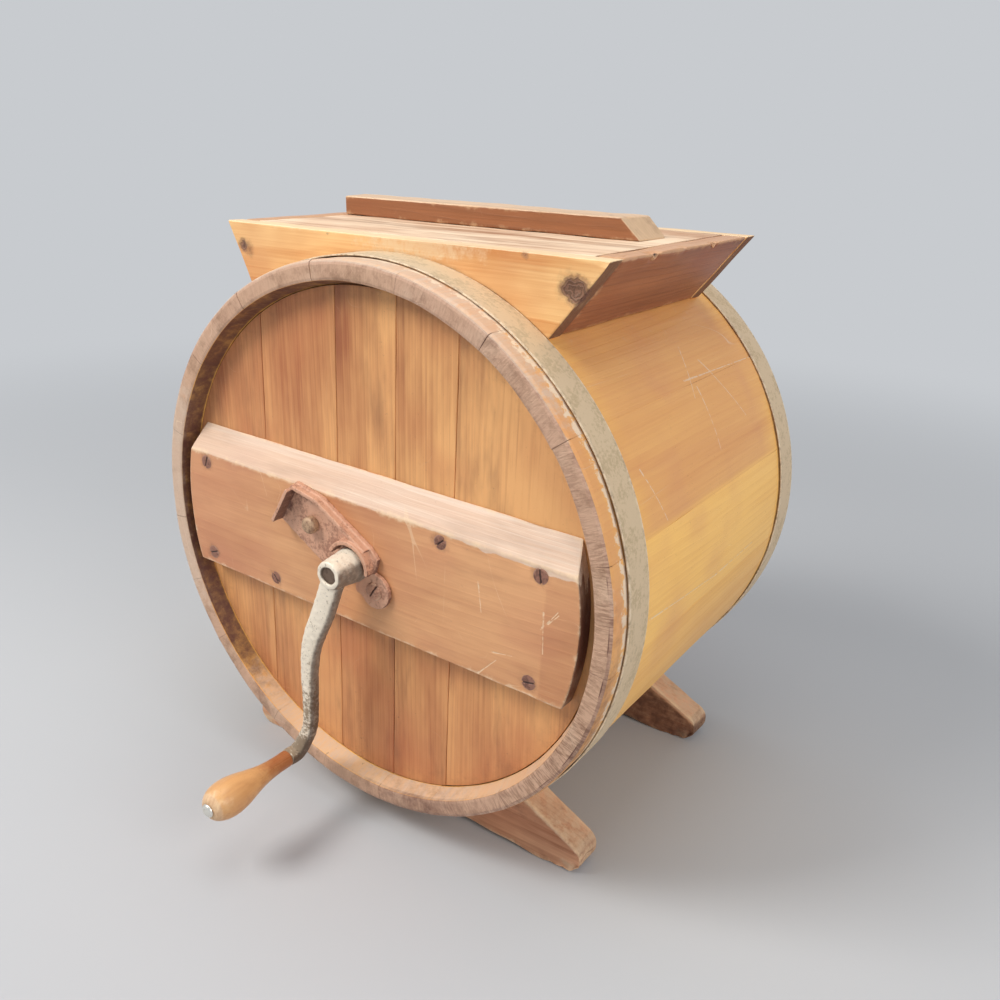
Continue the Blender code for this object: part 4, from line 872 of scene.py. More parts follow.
class Finish(Enum):
    """Finishes of the churn's pieces."""

    STAVE = Wood(
        "stave_cedar", rgb(254, 200, 110), rgb(216, 144, 76), end=rgb(198, 162, 140),
        stain_and_shade=rgb(98, 62, 52), worn=rgb(236, 212, 184), paled=rgb(212, 186, 164),
        red=rgb(212, 144, 104), rings=0.14, fibres=0.6, clouds=0.5, rough=0.4, scratch=0.5,
        hatch=0.8, soil=0.55, soil_and_shade_lines=(-0.0815, -0.0557, 0.1779, 0.2038), chip_line=-0.0815,
        rolled=True,
        strokes=(
            ((0.1429, 0.0797, 0.3608), (0.1661, 0.0633, 0.3316)),
            ((0.1522, 0.0953, 0.3504), (0.1797, 0.1311, 0.3072)),
            ((0.1582, 0.0600, 0.3428), (0.1603, 0.1771, 0.3401)),
            ((0.1626, 0.0733, 0.3368), (0.1847, 0.0743, 0.2954)),
            ((0.1982, -0.0493, 0.2197), (0.1977, 0.0568, 0.2096)),
            ((0.1977, 0.0568, 0.2096), (0.1977, 0.1290, 0.2100)),
            ((0.1781, -0.0396, 0.3104), (0.1913, -0.0210, 0.2753))))
    HEAD = Wood(
        "head_cedar", rgb(238, 178, 116), rgb(162, 98, 62), stain_and_shade=rgb(112, 68, 50),
        red=rgb(190, 112, 74), rings=0.2, fibres=0.85, clouds=1.3, wear=0.12, scratch=0.25,
        blotches=0.42)
    REAR_HEAD = Wood("rear_head_cedar", rgb(226, 172, 120), rgb(176, 112, 74), rings=0.2, wear=0.3)
    BATTEN = Wood(
        "batten_wood", rgb(224, 168, 120), rgb(182, 120, 82), end=rgb(104, 66, 48),
        worn=rgb(240, 212, 176), stain_and_shade=rgb(104, 62, 46), paled=rgb(226, 204, 184),
        red=rgb(196, 128, 98), rings=0.1, fibres=0.5, clouds=1.3, scratch=0.4, blotches=0.22,
        strokes=(
            ((0.1537, -0.0969, 0.2227), (0.1610, -0.0969, 0.2305)),
            ((0.1136, -0.0969, 0.1891), (0.1289, -0.0969, 0.1917)),
            ((0.1031, -0.0969, 0.1697), (0.1169, -0.0969, 0.1844)),
            ((0.1504, -0.0969, 0.2290), (0.1509, -0.0969, 0.2010)),
            ((0.1490, -0.0969, 0.2177), (0.1602, -0.0969, 0.2323)),
            ((0.1016, -0.0969, 0.2348), (0.1044, -0.0969, 0.2147))))
    HOPPER = Wood(
        "hopper_pine", rgb(250, 206, 144), rgb(214, 144, 80), end=rgb(116, 72, 52),
        stain_and_shade=rgb(84, 52, 42), worn=rgb(242, 212, 168), paled=rgb(238, 212, 172),
        rings=0.55, ring=0.009, bend=0.09, fibres=1.1, clouds=1.1, scratch=0.2, wear=0.3, hatch=0.6)
    HOPPER_SIDE = Wood(
        "hopper_side_pine", rgb(170, 106, 70), rgb(122, 70, 46), end=rgb(120, 76, 54),
        red=rgb(148, 76, 46), worn=rgb(214, 168, 126), stain_and_shade=rgb(54, 32, 26),
        paled=rgb(208, 164, 126), wear=0.42, clouds=1.1)
    LID = Wood(
        "lid_pine", rgb(240, 214, 184), rgb(166, 120, 88), red=rgb(200, 148, 108), rings=0.5,
        ring=0.012, bend=0.1, clouds=2.2, fibres=1.3, rough=0.62, wear=0.4, scratch=0.2, blotches=0.3)
    BAR = Wood(
        "bar_pine", rgb(158, 102, 66), rgb(118, 74, 46), end=rgb(214, 184, 150),
        red=rgb(144, 82, 52), worn=rgb(214, 178, 138), paled=rgb(230, 200, 166),
        wear=0.34, hatch=0.15, scratch=0.2)
    FOOT = Wood(
        "foot_wood", rgb(230, 176, 138), rgb(156, 100, 70), end=rgb(190, 150, 120),
        red=rgb(186, 116, 80), worn=rgb(236, 204, 166), paled=rgb(214, 184, 152),
        clouds=1.7, rough=0.6, wear=0.5, scratch=0.3)
    DASHER = Wood("dasher_maple", rgb(214, 182, 142), rgb(176, 138, 100), along=Axis.Y, wear=0.0, rough=0.7)
    GRIP = Wood(
        "grip_maple", rgb(222, 172, 116), rgb(186, 124, 78), end=rgb(220, 184, 148),
        worn=rgb(236, 204, 164), red=rgb(204, 134, 84), stain_and_shade=rgb(164, 102, 62),
        paled=rgb(240, 208, 164), rings=0.15, fibres=0.7, clouds=0.8, wear=0.2, scratch=0.3, rough=0.32)
    HOOP = Metal(
        "galvanised_hoop", rgb(214, 190, 156), rgb(192, 170, 136), rgb(132, 108, 82),
        rgb(234, 214, 184), metallic=0.15, pits=0.12, rough=0.5, bump=0.2)
    RUST = Metal(
        "rusty_casting", rgb(212, 164, 136), rgb(170, 124, 102), rgb(92, 58, 48),
        rgb(216, 188, 168), metallic=0.12, pits=0.4, rough=0.6, spread=0.45)
    PIVOT = Metal(
        "pivot_screw_iron", rgb(190, 142, 116), rgb(140, 98, 78), rgb(74, 48, 38),
        rgb(206, 170, 142), metallic=0.12, pits=0.3)
    SCREW = Metal(
        "rusty_screw", rgb(150, 106, 88), rgb(114, 78, 66), rgb(62, 42, 38),
        rgb(176, 140, 120), metallic=0.2, pits=0.4)
    # Its grade makes the crank paler higher up: painted light on the upper arm, which faces the light, and
    # more patina lower down.
    CRANK = Metal(
        "crank_iron", rgb(240, 228, 208), rgb(152, 134, 112), rgb(78, 56, 42),
        rgb(244, 236, 222), metallic=0.1, rough=0.42, pits=1.0, grade=0.2, grade_from=0.04,
        grade_to=0.2, spread=0.5, bump=0.7, mottle=0.55)
    THUMB = Metal(
        "thumb_screw_iron", rgb(184, 152, 122), rgb(136, 104, 82), rgb(84, 56, 46),
        rgb(216, 196, 170), metallic=0.2, pits=0.8)
    SHAFT = Metal(
        "shaft_iron", rgb(112, 92, 76), rgb(82, 64, 52), rgb(46, 34, 28), rgb(150, 128, 108),
        metallic=0.3)
    STEEL = Metal(
        "spindle_steel", rgb(226, 224, 216), rgb(180, 172, 156), rgb(110, 96, 78),
        rgb(245, 243, 238), spread=0.2, pits=0.2, metallic=0.8, rough=0.3, bump=0.15)

    def material(self) -> bpy.types.Material:
        """Material of the finish."""
        return self.value.material()


@dataclass
class Dent:
    """A bite out of a surface: how deep it goes at its middle, and how wide it is."""

    at: Place
    radius: float
    depth: float


@dataclass
class Piece:
    """A named piece: its surfaces, its finish and the body that it rides on."""

    name: str
    surfaces: list[Surface]
    finish: Finish
    body: Body
    slot: str
    stands_for: tuple[str, ...] = ()
    grain: Axis = Axis.X
    tone: float = 0.3
    seed: int = 1
    uneven: float = 0.0
    swell: float = 0.05
    dents: tuple[Dent, ...] = ()
    # Spots painted darker: real staining on most pieces, and painted shade on some, such as the latch's ear.
    stain_and_shade_spots: tuple[Dent, ...] = ()
    paled: tuple[Dent, ...] = ()
    knots: tuple[Dent, ...] = ()
    # Way that faces turned towards it are painted darker: painted shade on the side away from the light.
    painted_shade_way: Place = ZERO
    sharp: float = 50.0
    turn: float = 0.0
    turn_about: Place = ZERO

    def build(self) -> bpy.types.Object:
        """Make the object, dress it and hang it on its body.

        Returns:
            The object, at the origin.
        """
        vertices, quads, triangles = self._gather()
        mesh = self._mesh(vertices, quads, triangles)
        normals = np.zeros(len(vertices) * 3)
        mesh.vertex_normals.foreach_get("vector", normals)
        normals = normals.reshape(-1, 3)
        moved = vertices.copy()
        if self.uneven:
            moved += normals * (self.uneven * ripple(vertices, self.swell, self.seed))[:, None]
        for dent in self.dents:
            away = np.linalg.norm(vertices - np.array(dent.at), axis=1)
            moved -= normals * (dent.depth * np.exp(-(away / dent.radius) ** 2))[:, None]
        mesh.vertices.foreach_set("co", moved.ravel())
        mesh.update()
        self._mark(mesh, moved, normals)
        mesh.shade_smooth()
        mesh.set_sharp_from_angle(angle=math.radians(self.sharp))
        mesh.materials.append(self.finish.material())
        item = link(self.name, mesh)
        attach(item, self.body.value)
        if self.stands_for:
            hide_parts(*self.stands_for)
        LOG.info("%s: %d faces", self.name, len(mesh.polygons))
        return item

    def stock(self) -> bpy.types.Object:
        """Plain object of the surfaces, to cut or remesh with and then remove.

        Returns:
            The object.
        """
        return link(self.name, self._mesh(*self._gather()))

    def _gather(self) -> Skin:
        """Join the surfaces and turn them about Y.

        Returns:
            Vertices, quads and triangles of all the surfaces.
        """
        parts = [surface.skin() for surface in self.surfaces]
        starts = np.cumsum([0] + [len(part[0]) for part in parts[:-1]])
        vertices = np.vstack([part[0] for part in parts])
        quads, triangles = (
            np.vstack([part[kind] + start for part, start in zip(parts, starts)]) for kind in (1, 2)
        )
        if self.turn:
            cos, sin = math.cos(math.radians(self.turn)), math.sin(math.radians(self.turn))
            spin = np.array(((cos, 0.0, sin), (0.0, 1.0, 0.0), (-sin, 0.0, cos)))
            about = np.array(self.turn_about)
            vertices = (vertices - about) @ spin.T + about
        return vertices, quads, triangles

    def _mesh(self, vertices: Array, quads: Array, triangles: Array) -> bpy.types.Mesh:
        """Put arrays into a new mesh.

        Args:
            vertices: Places of the vertices.
            quads: Four vertex numbers for each quad.
            triangles: Three vertex numbers for each triangle.

        Returns:
            The mesh.
        """
        mesh = bpy.data.meshes.new(self.name)
        mesh.vertices.add(len(vertices))
        mesh.vertices.foreach_set("co", vertices.ravel())
        mesh.loops.add(quads.size + triangles.size)
        corners = np.concatenate((quads.ravel(), triangles.ravel()))
        mesh.loops.foreach_set("vertex_index", corners.astype(np.int32))
        mesh.polygons.add(len(quads) + len(triangles))
        starts = np.concatenate((np.arange(len(quads)) * 4, quads.size + np.arange(len(triangles)) * 3))
        mesh.polygons.foreach_set("loop_start", starts.astype(np.int32))
        mesh.update(calc_edges=True)
        return mesh

    def _spots(self, places: Array, spots: tuple[Dent, ...]) -> Array:
        """Greatest of depth e^-(d / r)^2 over some spots.

        Args:
            places: Vertex places.
            spots: The spots.

        Returns:
            One value for each place.
        """
        total = np.zeros(len(places))
        for spot in spots:
            away = np.linalg.norm(places - np.array(spot.at), axis=1)
            total = np.maximum(total, spot.depth * np.exp(-(away / spot.radius) ** 2))
        return total

    def _gathered(self, name: str, width: int = 1) -> Array:
        """A mark of all the surfaces: a number for each vertex, or a row where it is wider."""
        values = np.vstack([surface.mark(name, width) for surface in self.surfaces])
        return values[:, 0] if width == 1 else values

    def _mark(self, mesh: bpy.types.Mesh, places: Array, normals: Array) -> None:
        """Store what the finish reads.

        Args:
            mesh: The mesh to mark.
            places: Vertex places.
            normals: Vertex normals.
        """
        order = {Axis.X: (1, 0, 2), Axis.Y: (0, 1, 2), Axis.Z: (0, 2, 1)}[self.grain]
        shift = np.random.default_rng(self.seed).uniform(-3.0, 3.0, 3)
        grain, hatch = self._gathered("grain", 3), self._gathered("hatch")
        if not grain.any():
            grain = places[:, order]
        if not hatch.any():
            hatch = np.ones(len(places))
        stain_and_shade = np.maximum(self._gathered("stain_and_shade"), self._spots(places, self.stain_and_shade_spots))
        # Faces turned towards this way are painted darker: painted shade on the side away from the light.
        if any(self.painted_shade_way):
            reach = float(np.linalg.norm(self.painted_shade_way))
            facing = normals @ (np.array(self.painted_shade_way) / reach)
            stain_and_shade = np.maximum(stain_and_shade, reach * smooth(facing, 0.1, 0.85))
        values = {
            "edge": self._gathered("edge"),
            "end": smooth(np.abs(normals[:, self.grain.value]), 0.5, 0.64),
            "stain_and_shade": stain_and_shade,
            "pale": np.maximum(self._gathered("pale"), self._spots(places, self.paled)),
            "tone": self.tone + self._gathered("tone"),
            "knot": self._spots(places, self.knots),
            "hatch": hatch,
            "ruddy": self._gathered("ruddy")}
        for name, value in values.items():
            layer = mesh.attributes.new(name, "FLOAT", "POINT")
            layer.data.foreach_set("value", value.astype(np.float32))
        layer = mesh.attributes.new("grain", "FLOAT_VECTOR", "POINT")
        layer.data.foreach_set("vector", (grain + shift).astype(np.float32).ravel())


@dataclass
class Staves:
    """The staves, those under the hopper as a stub at each end."""

    widths: tuple[float, ...] = (
        21.9, 21.9, 21.0, 21.2, 22.2, 21.1, 20.6, 21.7, 16.0,
        15.4, 23.6, 17.0, 17.0, 15.7, 21.0, 21.0, 20.7, 21.0)
    first_joint: float = 14.0
    mouth: tuple[int, ...] = (3, 4, 5)
    mouth_front: float = 0.0565
    mouth_rear: float = 0.248
    joint: float = 0.00003
    bevel: float = 0.0142
    rounding: float = 0.00022
    seen_tones: tuple[tuple[int, float], ...] = ((1, 0.34), (2, 0.46), (18, 0.0), (17, 0.28), (16, 0.36))
    lip: tuple[Pair, ...] = ((0.0002, 0.0026), (0.0006, 0.0006), (0.0024, 0.0))
    worn: tuple[Pair, ...] = ((-0.0032, 0.0), (-0.0009, 0.0008), (0.0, 0.0032))

    def _profile(self, low: float, high: float) -> Array:
        """Section of a stave, worn and bevelled where it ends at a rim of the barrel.

        Args:
            low: Front Y place.
            high: Rear Y place.

        Returns:
            Radii in the first row and Y places in the second.
        """
        rim = [(BARREL.chime + r, y) for r, y in self.lip] + [(BARREL.radius + r, y) for r, y in self.worn]
        plain = [(BARREL.inner, 0.0), (BARREL.radius, 0.0)]
        front_end, rear_end = low == 0.0, high == BARREL.length
        corners = [(r, low + y) for r, y in (rim if front_end else plain)]
        corners += [(r, high - y) for r, y in reversed(rim if rear_end else plain)]
        if rear_end:
            corners.append((BARREL.inner, high - self.bevel))
        if front_end:
            corners.append((BARREL.inner, low + self.bevel))
        return np.array(corners).T

    def _surface(self, low: float, high: float, start: float, stop: float) -> Surface:
        """Stave between two Y places and two angles, as (r cos a, y, r sin a) of its section.

        Args:
            low: Front Y place.
            high: Rear Y place.
            start: First joint angle.
            stop: Second joint angle.

        Returns:
            The stave, with its grain in its own upright frame.
        """
        radii, places = self._profile(low, high)

        def section(runs: Array) -> Array:
            """Section corners at shares of the way round."""
            angle = (start + (stop - start) * runs)[:, None]
            rows = np.broadcast_arrays(radii * np.cos(angle), places, radii * np.sin(angle))
            return np.stack(rows, axis=-1)

        span = (stop - start) * BARREL.radius
        made = board(section, span, 24, spread=14, radius=self.rounding, wear=0.0022, pull=0.6)
        self._mark(made, start, stop)
        cos, sin = math.cos((start + stop) / 2.0), math.sin((start + stop) / 2.0)
        x, y, z = np.moveaxis(made.points, -1, 0)
        made.marks["grain"] = np.stack((z * cos - x * sin, y, x * cos + z * sin), axis=-1)
        return made.placed()

    def _mark(self, made: Surface, start: float, stop: float) -> None:
        """Mark a stave's wear, soiling, bleaching and tones, with painted shade on the shaded recess wall and
        beside the batten's ends, and painted highlights on the lit lower wall and the left of the rim.

        Args:
            made: The stave, about the barrel's own middle.
            start: First joint angle.
            stop: Second joint angle.
        """
        x, y, z = np.moveaxis(made.points, -1, 0)
        out, angle = np.hypot(x, z), np.arctan2(z, x)
        depth = np.minimum(y, BARREL.length - y)
        rise = np.sin(angle)

        def towards(middle: float, width: float) -> Array:
            """Bell round an angle: e^-(turn / width)^2."""
            return np.exp(-(apart(angle, middle) / width) ** 2)

        def streaked(lead: float, pitch: float, above: float, below: float) -> Array:
            """Slanting line on the barrel's side, which fades on each side of it."""
            away = (angle - lead + pitch * (y - 0.0486)) * BARREL.radius
            return np.exp(-np.maximum(away, 0.0) / above - np.maximum(-away, 0.0) / below)

        rim = smooth(-depth, -0.0044, -0.0026)
        skin = smooth(out, BARREL.radius - 0.003, BARREL.radius - 0.001)
        outer = smooth(-depth, -0.02, -0.0145) * smooth(out, BARREL.radius - 0.0034, BARREL.radius - 0.0026)
        wall = smooth(depth, 0.0002, 0.0015) * smooth(-depth, -self.bevel - 0.001, -self.bevel + 0.001)
        wall = wall * smooth(-out, -BARREL.chime - 0.0024, -BARREL.chime - 0.0008)
        corner = np.hypot(np.maximum(BARREL.radius - out, 0.0), depth)
        made.marks["edge"] = rim * np.exp(-corner / 0.0022) + 0.1 * made.marks["edge"] * (1.0 - rim)

        right = towards(-0.3, 0.75)
        # One where the recess wall is painted as in shade: all round but its lower part, which faces up to
        # the light.
        wall_in_shade = smooth(rise - 0.4 * np.cos(angle), -0.8, -0.25)
        to_joint = np.minimum(apart(angle, start), apart(angle, stop)) * BARREL.radius
        crack = 0.75 * rim * np.exp(-to_joint / 0.0003)
        split = np.exp(-((out - BARREL.radius + 0.0031) / 0.0005) ** 2)
        split = split * smooth(ripple(made.points, 0.02, 8), -0.5, 0.4)
        split = split * (right * smooth(-depth, -0.0012, -0.0004))
        under = towards(-1.3, 0.45) * np.maximum(0.5 * rim, 0.36 * wall)
        beside = towards(-0.4, 0.7) * 0.5 * outer
        # Painted shadow on the recess wall beside the batten's ends.
        batten_end_shadow = 0.85 * wall * towards(0.02, 0.3)
        # The recess wall: a little soiling all round, and painted shade where it is in shade.
        wall_dirt_and_shade = wall * (0.12 + 0.66 * wall_in_shade)
        made.marks["stain_and_shade"] = np.max((wall_dirt_and_shade, crack, 0.85 * split, under, beside, batten_end_shadow), axis=0)
        made.marks["hatch"] = 0.22 + 0.78 * right

        side = smooth(depth, 0.03, 0.045) * skin
        streak, second = streaked(0.4765, 0.52, 0.0016, 0.012), streaked(0.36, 0.3, 0.006, 0.0012)
        made.marks["tone"] = side * np.maximum(0.55 * streak, 0.4 * second)
        warm = 0.42 * smooth(angle, 0.24, 0.27) * smooth(-angle, -1.2, -1.0)
        made.marks["ruddy"] = np.maximum(0.55 * outer, side * np.maximum(warm, 0.5 * streak))

        chips = 0.4 * smooth(depth, 0.0125, 0.0155) * (1.0 + ripple(made.points, 0.006, 3))
        by_hoop = smooth(-depth, -0.0168, -0.0155) * skin * np.maximum(0.75 * smooth(rise, 0.3, 0.85), chips)
        crest = 0.3 * smooth(rise, 0.4, 0.8) * skin
        # Paler on the left of the rim: a painted highlight, and some wear.
        left = 0.8 * rim * smooth(-np.cos(angle), 0.75, 0.98)
        # Painted light on the lower recess wall, which faces up to the light.
        paler = 0.9 * wall * np.sqrt(1.0 - wall_in_shade)
        made.marks["pale"] = np.max((by_hoop, paler, crest, left), axis=0)

    def build(self) -> None:
        """Build every stave."""
        joints = np.concatenate(((0.0,), np.cumsum(self.widths)))
        angles = np.radians(self.first_joint) + 2.0 * np.pi * joints / sum(self.widths)
        tones = np.random.default_rng(7).uniform(0.0, 0.65, len(self.widths))
        for number, tone in self.seen_tones:
            tones[number - 1] = tone
        gap = self.joint / (2.0 * BARREL.radius)
        for index, tone in enumerate(tones):
            name = f"stave_{index + 1:02d}"
            spans = {name: (0.0, BARREL.length)}
            if index + 1 in self.mouth:
                front, rear = (0.0, self.mouth_front), (self.mouth_rear, BARREL.length)
                spans = {f"{name}_front": front, f"{name}_rear": rear}
            for node, (low, high) in spans.items():
                stave = self._surface(low, high, angles[index] + gap, angles[index + 1] - gap)
                Piece(
                    f"{node}_wood", [stave], Finish.STAVE, Body.CHURN, "stave_cedar", (node,), Axis.Y,
                    float(tone), 100 + index, uneven=0.00018, swell=0.045).build()


@dataclass
class Hoops:
    """Flat galvanised hoops with their laps and rivets."""

    width: float = 0.0255
    inner: float = 0.1987
    thick: float = 0.001
    starts: Pair = (0.0162, 0.2757)
    lap_at: float = 204.0
    lap_span: float = 13.0
    rivet: float = 0.0032
    rivets_at: Pair = (-3.4, 3.4)

    def _band(self, start: float, low: float, high: float, inner: float, closed: bool, seed: int) -> Surface:
        """Thin band: a rounded oblong section carried round from one angle to another.

        Args:
            start: Front Y place.
            low: First angle in degrees.
            high: Last angle in degrees.
            inner: Inner radius.
            closed: True for a whole turn.
            seed: Seed of its unevenness.

        Returns:
            The band.
        """
        radii = np.array((inner, inner + self.thick, inner + self.thick, inner))
        places = np.array((start, start, start + self.width, start + self.width))

        def section(runs: Array) -> Array:
            """Section corners at shares of the way round."""
            angle = np.radians(low + (high - low) * runs)[:, None]
            out = radii + 0.0002 * np.sin(5.0 * angle + seed)
            y = places + 0.0003 * np.sin(3.0 * angle + seed)
            return np.stack((out * np.cos(angle), y, out * np.sin(angle)), axis=-1)

        rounding, wear = 0.00035, 0.0012
        if not closed:
            length = math.radians(high - low) * inner
            made = board(section, length, 20, spread=8, radius=rounding, wear=wear)
            return made.placed()
        runs = np.linspace(0.0, 1.0, 288, endpoint=False)
        points, near = rounded_loops(section(runs), np.full(len(runs), rounding), 8)
        # Darker along the band's edges: soiling, and painted shade where the band stands off the staves.
        marks = {"edge": np.exp(-near / wear), "stain_and_shade": 0.42 * np.exp(-near / 0.003)}
        return Surface(points + BARREL.shift(), marks, ring=True)

    def build(self) -> None:
        """Build both hoops with their laps and rivets."""
        first, last = self.lap_at - self.lap_span / 2, self.lap_at + self.lap_span / 2
        outer = self.inner + 1.9 * self.thick
        for number, (name, start) in enumerate(zip(("front_hoop", "rear_hoop"), self.starts)):
            band = self._band(start, 0.0, 360.0, self.inner, True, number)
            lap = self._band(start, first, last, self.inner + self.thick * 0.92, False, number)
            Piece(
                f"{name}_band", [band, lap], Finish.HOOP, Body.CHURN, "galvanised_hoop", (name,),
                Axis.Y, seed=20 + number, sharp=60.0).build()
            rivets = []
            for offset in self.rivets_at:
                angle = math.radians(self.lap_at + offset)
                way = np.array((math.cos(angle), 0.0, math.sin(angle)))
                centre = way * outer + (0.0, start + self.width / 2, 0.0) + BARREL.shift()
                rivets.append(dome(centre, way, self.rivet, 0.0011))
            Piece(f"{name}_rivets", rivets, Finish.SCREW, Body.CHURN, "rusty_screw", seed=30 + number).build()


def dome(
    centre: Array, out: Array, radius: float, height: float, slot: float = 0.0,
    slot_turn: float = 0.0,
) -> Surface:
    """Low round head, with a slot if one is asked for.

    Over the head, height is h sqrt(1 - (r / R)^2), less the slot's depth where the place
    is within the slot's half width of a line through the middle.

    Args:
        centre: Middle of the head's seat.
        out: Unit way that the head faces.
        radius: Radius of the head.
        height: Height of the head.
        slot: Half width of the slot, or zero.
        slot_turn: Turn of the slot in degrees.

    Returns:
        The head as a closed surface with a short shank below.
    """
    share = np.concatenate((np.linspace(0.02, 0.8, 16), np.linspace(0.84, 1.0, 8)))
    angle = np.linspace(0.0, 2.0 * np.pi, 72, endpoint=False)
    up = np.array((0.0, 0.0, 1.0)) if abs(out[2]) < 0.9 else np.array((1.0, 0.0, 0.0))
    side = unit(np.cross(out, up))
    other = np.cross(out, side)
    r, a = np.meshgrid(share * radius, angle, indexing="ij")
    rise = height * np.sqrt(np.maximum(1.0 - (r / radius) ** 2.4, 0.0))
    edge = 0.6 * smooth(r / radius, 0.6, 0.95)
    stain_and_shade = np.zeros_like(r)
    if slot:
        across = np.abs(r * np.sin(a - math.radians(slot_turn)))
        cut = 1.0 - smooth(across, slot * 0.75, slot * 1.25)
        rise = rise - cut * height * 0.75
        stain_and_shade = cut
    rays = np.cos(a)[..., None] * side + np.sin(a)[..., None] * other
    points = centre + r[..., None] * rays + rise[..., None] * out
    points = np.concatenate((points, centre + 0.97 * radius * rays[:1] - 0.0012 * out))
    pad = np.zeros((1, len(angle)))
    return Surface(points, {"edge": np.vstack((edge, pad)), "stain_and_shade": np.vstack((stain_and_shade, pad))})


@dataclass
class Heads:
    """Boards of both heads."""

    inset: float = 0.0142
    thick: float = 0.017
    front_seams: tuple[float, ...] = (-0.56, -0.168, 0.119, 0.39)
    rear_seams: tuple[float, ...] = (-0.38, 0.3)
    turn: float = 1.3
    limit: float = BARREL.inner - 0.0006

    def _board(self, left: float, right: float, face: float) -> Surface:
        """Board between two X places, rounded by the croze at both ends: z = +-sqrt(R^2 - x^2).

        Args:
            left: First X place.
            right: Second X place.
            face: Y place of its front.

        Returns:
            The board, darker towards its rim with soiling and painted shade of the recess corner, and with
            the chime's painted shadow on its upper left and along its top.
        """
        back = face + self.thick

        def section(runs: Array) -> Array:
            """Upright section from rim to rim."""
            x = left + 0.0002 + (right - left - 0.0004) * runs
            z = np.sqrt(np.maximum(self.limit ** 2 - x ** 2, 1e-6))
            return ruled((x, face, -z), (x, face, z), (x, back, z), (x, back, -z))

        made = board(section, right - left, 26, spread=40, radius=0.0006, wear=0.0014)
        x, z = made.points[..., 0], made.points[..., 2]
        # Darker towards the rim: soiling, and painted shade of the recess corner.
        made.marks["stain_and_shade"] = 0.3 * smooth(np.hypot(x, z), 0.145, 0.182)
        # Darker tone on the upper left and along the top: painted shadow of the chime. The upper left is also
        # redder, the low part a little darker and redder, and right of the middle paler.
        upper_left_shade = smooth(-x, -0.03, 0.11) * smooth(z, 0.0, 0.1)
        low = smooth(-z, 0.02, 0.13)
        tone = 0.8 * upper_left_shade + 0.18 * low + 0.14 * smooth(z, 0.06, 0.14)
        made.marks["tone"] = tone - 0.3 * smooth(x, 0.03, 0.13) * smooth(z, -0.02, 0.06)
        made.marks["ruddy"] = 0.35 * upper_left_shade + 0.3 * low
        return made.placed()

    def build(self) -> None:
        """Build the boards of both heads."""
        rear_face = BARREL.length - self.inset - self.thick
        sets = (
            ("front", self.inset, self.front_seams, self.turn, Finish.HEAD, 200),
            ("rear", rear_face, self.rear_seams, 0.0, Finish.REAR_HEAD, 210))
        source = np.random.default_rng(3)
        for prefix, face, seams, turn, finish, seed in sets:
            edges = [-self.limit] + [share * BARREL.inner for share in seams] + [self.limit]
            for index, (left, right) in enumerate(zip(edges, edges[1:])):
                node = f"{prefix}_head_board_{index + 1}"
                Piece(
                    f"{node}_wood", [self._board(left, right, face)], finish, Body.CHURN, "head_cedar",
                    (node,), Axis.Z, float(source.uniform(0.1, 0.6)), seed + index, uneven=0.00015,
                    swell=0.06, turn=turn, turn_about=BARREL.at(*ZERO)).build()


@dataclass
class Cast:
    """Skin worked out from other skins, remeshed on a fine grid and softened as a casting is."""

    points: Array
    quads: Array

    @classmethod
    def of(cls, parts: list, voxel: float, passes: int) -> "Cast":
        """Join closed skins into one.

        Args:
            parts: Skins, each with vertices, quads and triangles.
            voxel: Size of the grid in metres.
            passes: How often the new skin is smoothed.

        Returns:
            The joined skin.
        """
        item = Piece("cast_stock", parts, Finish.RUST, Body.CHURN, "").stock()
        return cls._read(item, voxel, passes)

    @classmethod
    def of_node(cls, node: str, voxel: float, passes: int) -> "Cast":
        """Fine skin of a CAD node, whose copy is merged first.

        Args:
            node: Name of the node.
            voxel: Size of the grid in metres.
            passes: How often the new skin is smoothed.

        Returns:
            The skin.
        """
        shape = bmesh.new()
        shape.from_mesh(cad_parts[node].data)
        bmesh.ops.remove_doubles(shape, verts=shape.verts, dist=1e-6)
        mesh = bpy.data.meshes.new("cast_stock")
        shape.to_mesh(mesh)
        shape.free()
        return cls._read(link("cast_stock", mesh), voxel, passes)

    @classmethod
    def _read(cls, item: bpy.types.Object, voxel: float, passes: int) -> "Cast":
        """Remesh an object, read its skin and remove it."""
        remesh = item.modifiers.new("remesh", "REMESH")
        remesh.mode = "VOXEL"
        remesh.voxel_size = voxel
        soften = item.modifiers.new("soften", "SMOOTH")
        soften.factor = 0.5
        soften.iterations = passes
        mesh = item.evaluated_get(bpy.context.evaluated_depsgraph_get()).to_mesh()
        points = np.zeros(len(mesh.vertices) * 3)
        mesh.vertices.foreach_get("co", points)
        corners = np.zeros(len(mesh.loops), np.int32)
        mesh.loops.foreach_get("vertex_index", corners)
        made = cls(points.reshape(-1, 3), corners.reshape(-1, 4))
        bpy.data.objects.remove(item)
        return made

    def skin(self) -> Skin:
        """Vertices, quads and no triangles."""
        return self.points, self.quads, np.zeros((0, 3), int)

    def mark(self, name: str, width: int) -> Array:
        """A casting carries no marks of its own."""
        return np.zeros((len(self.points), width))


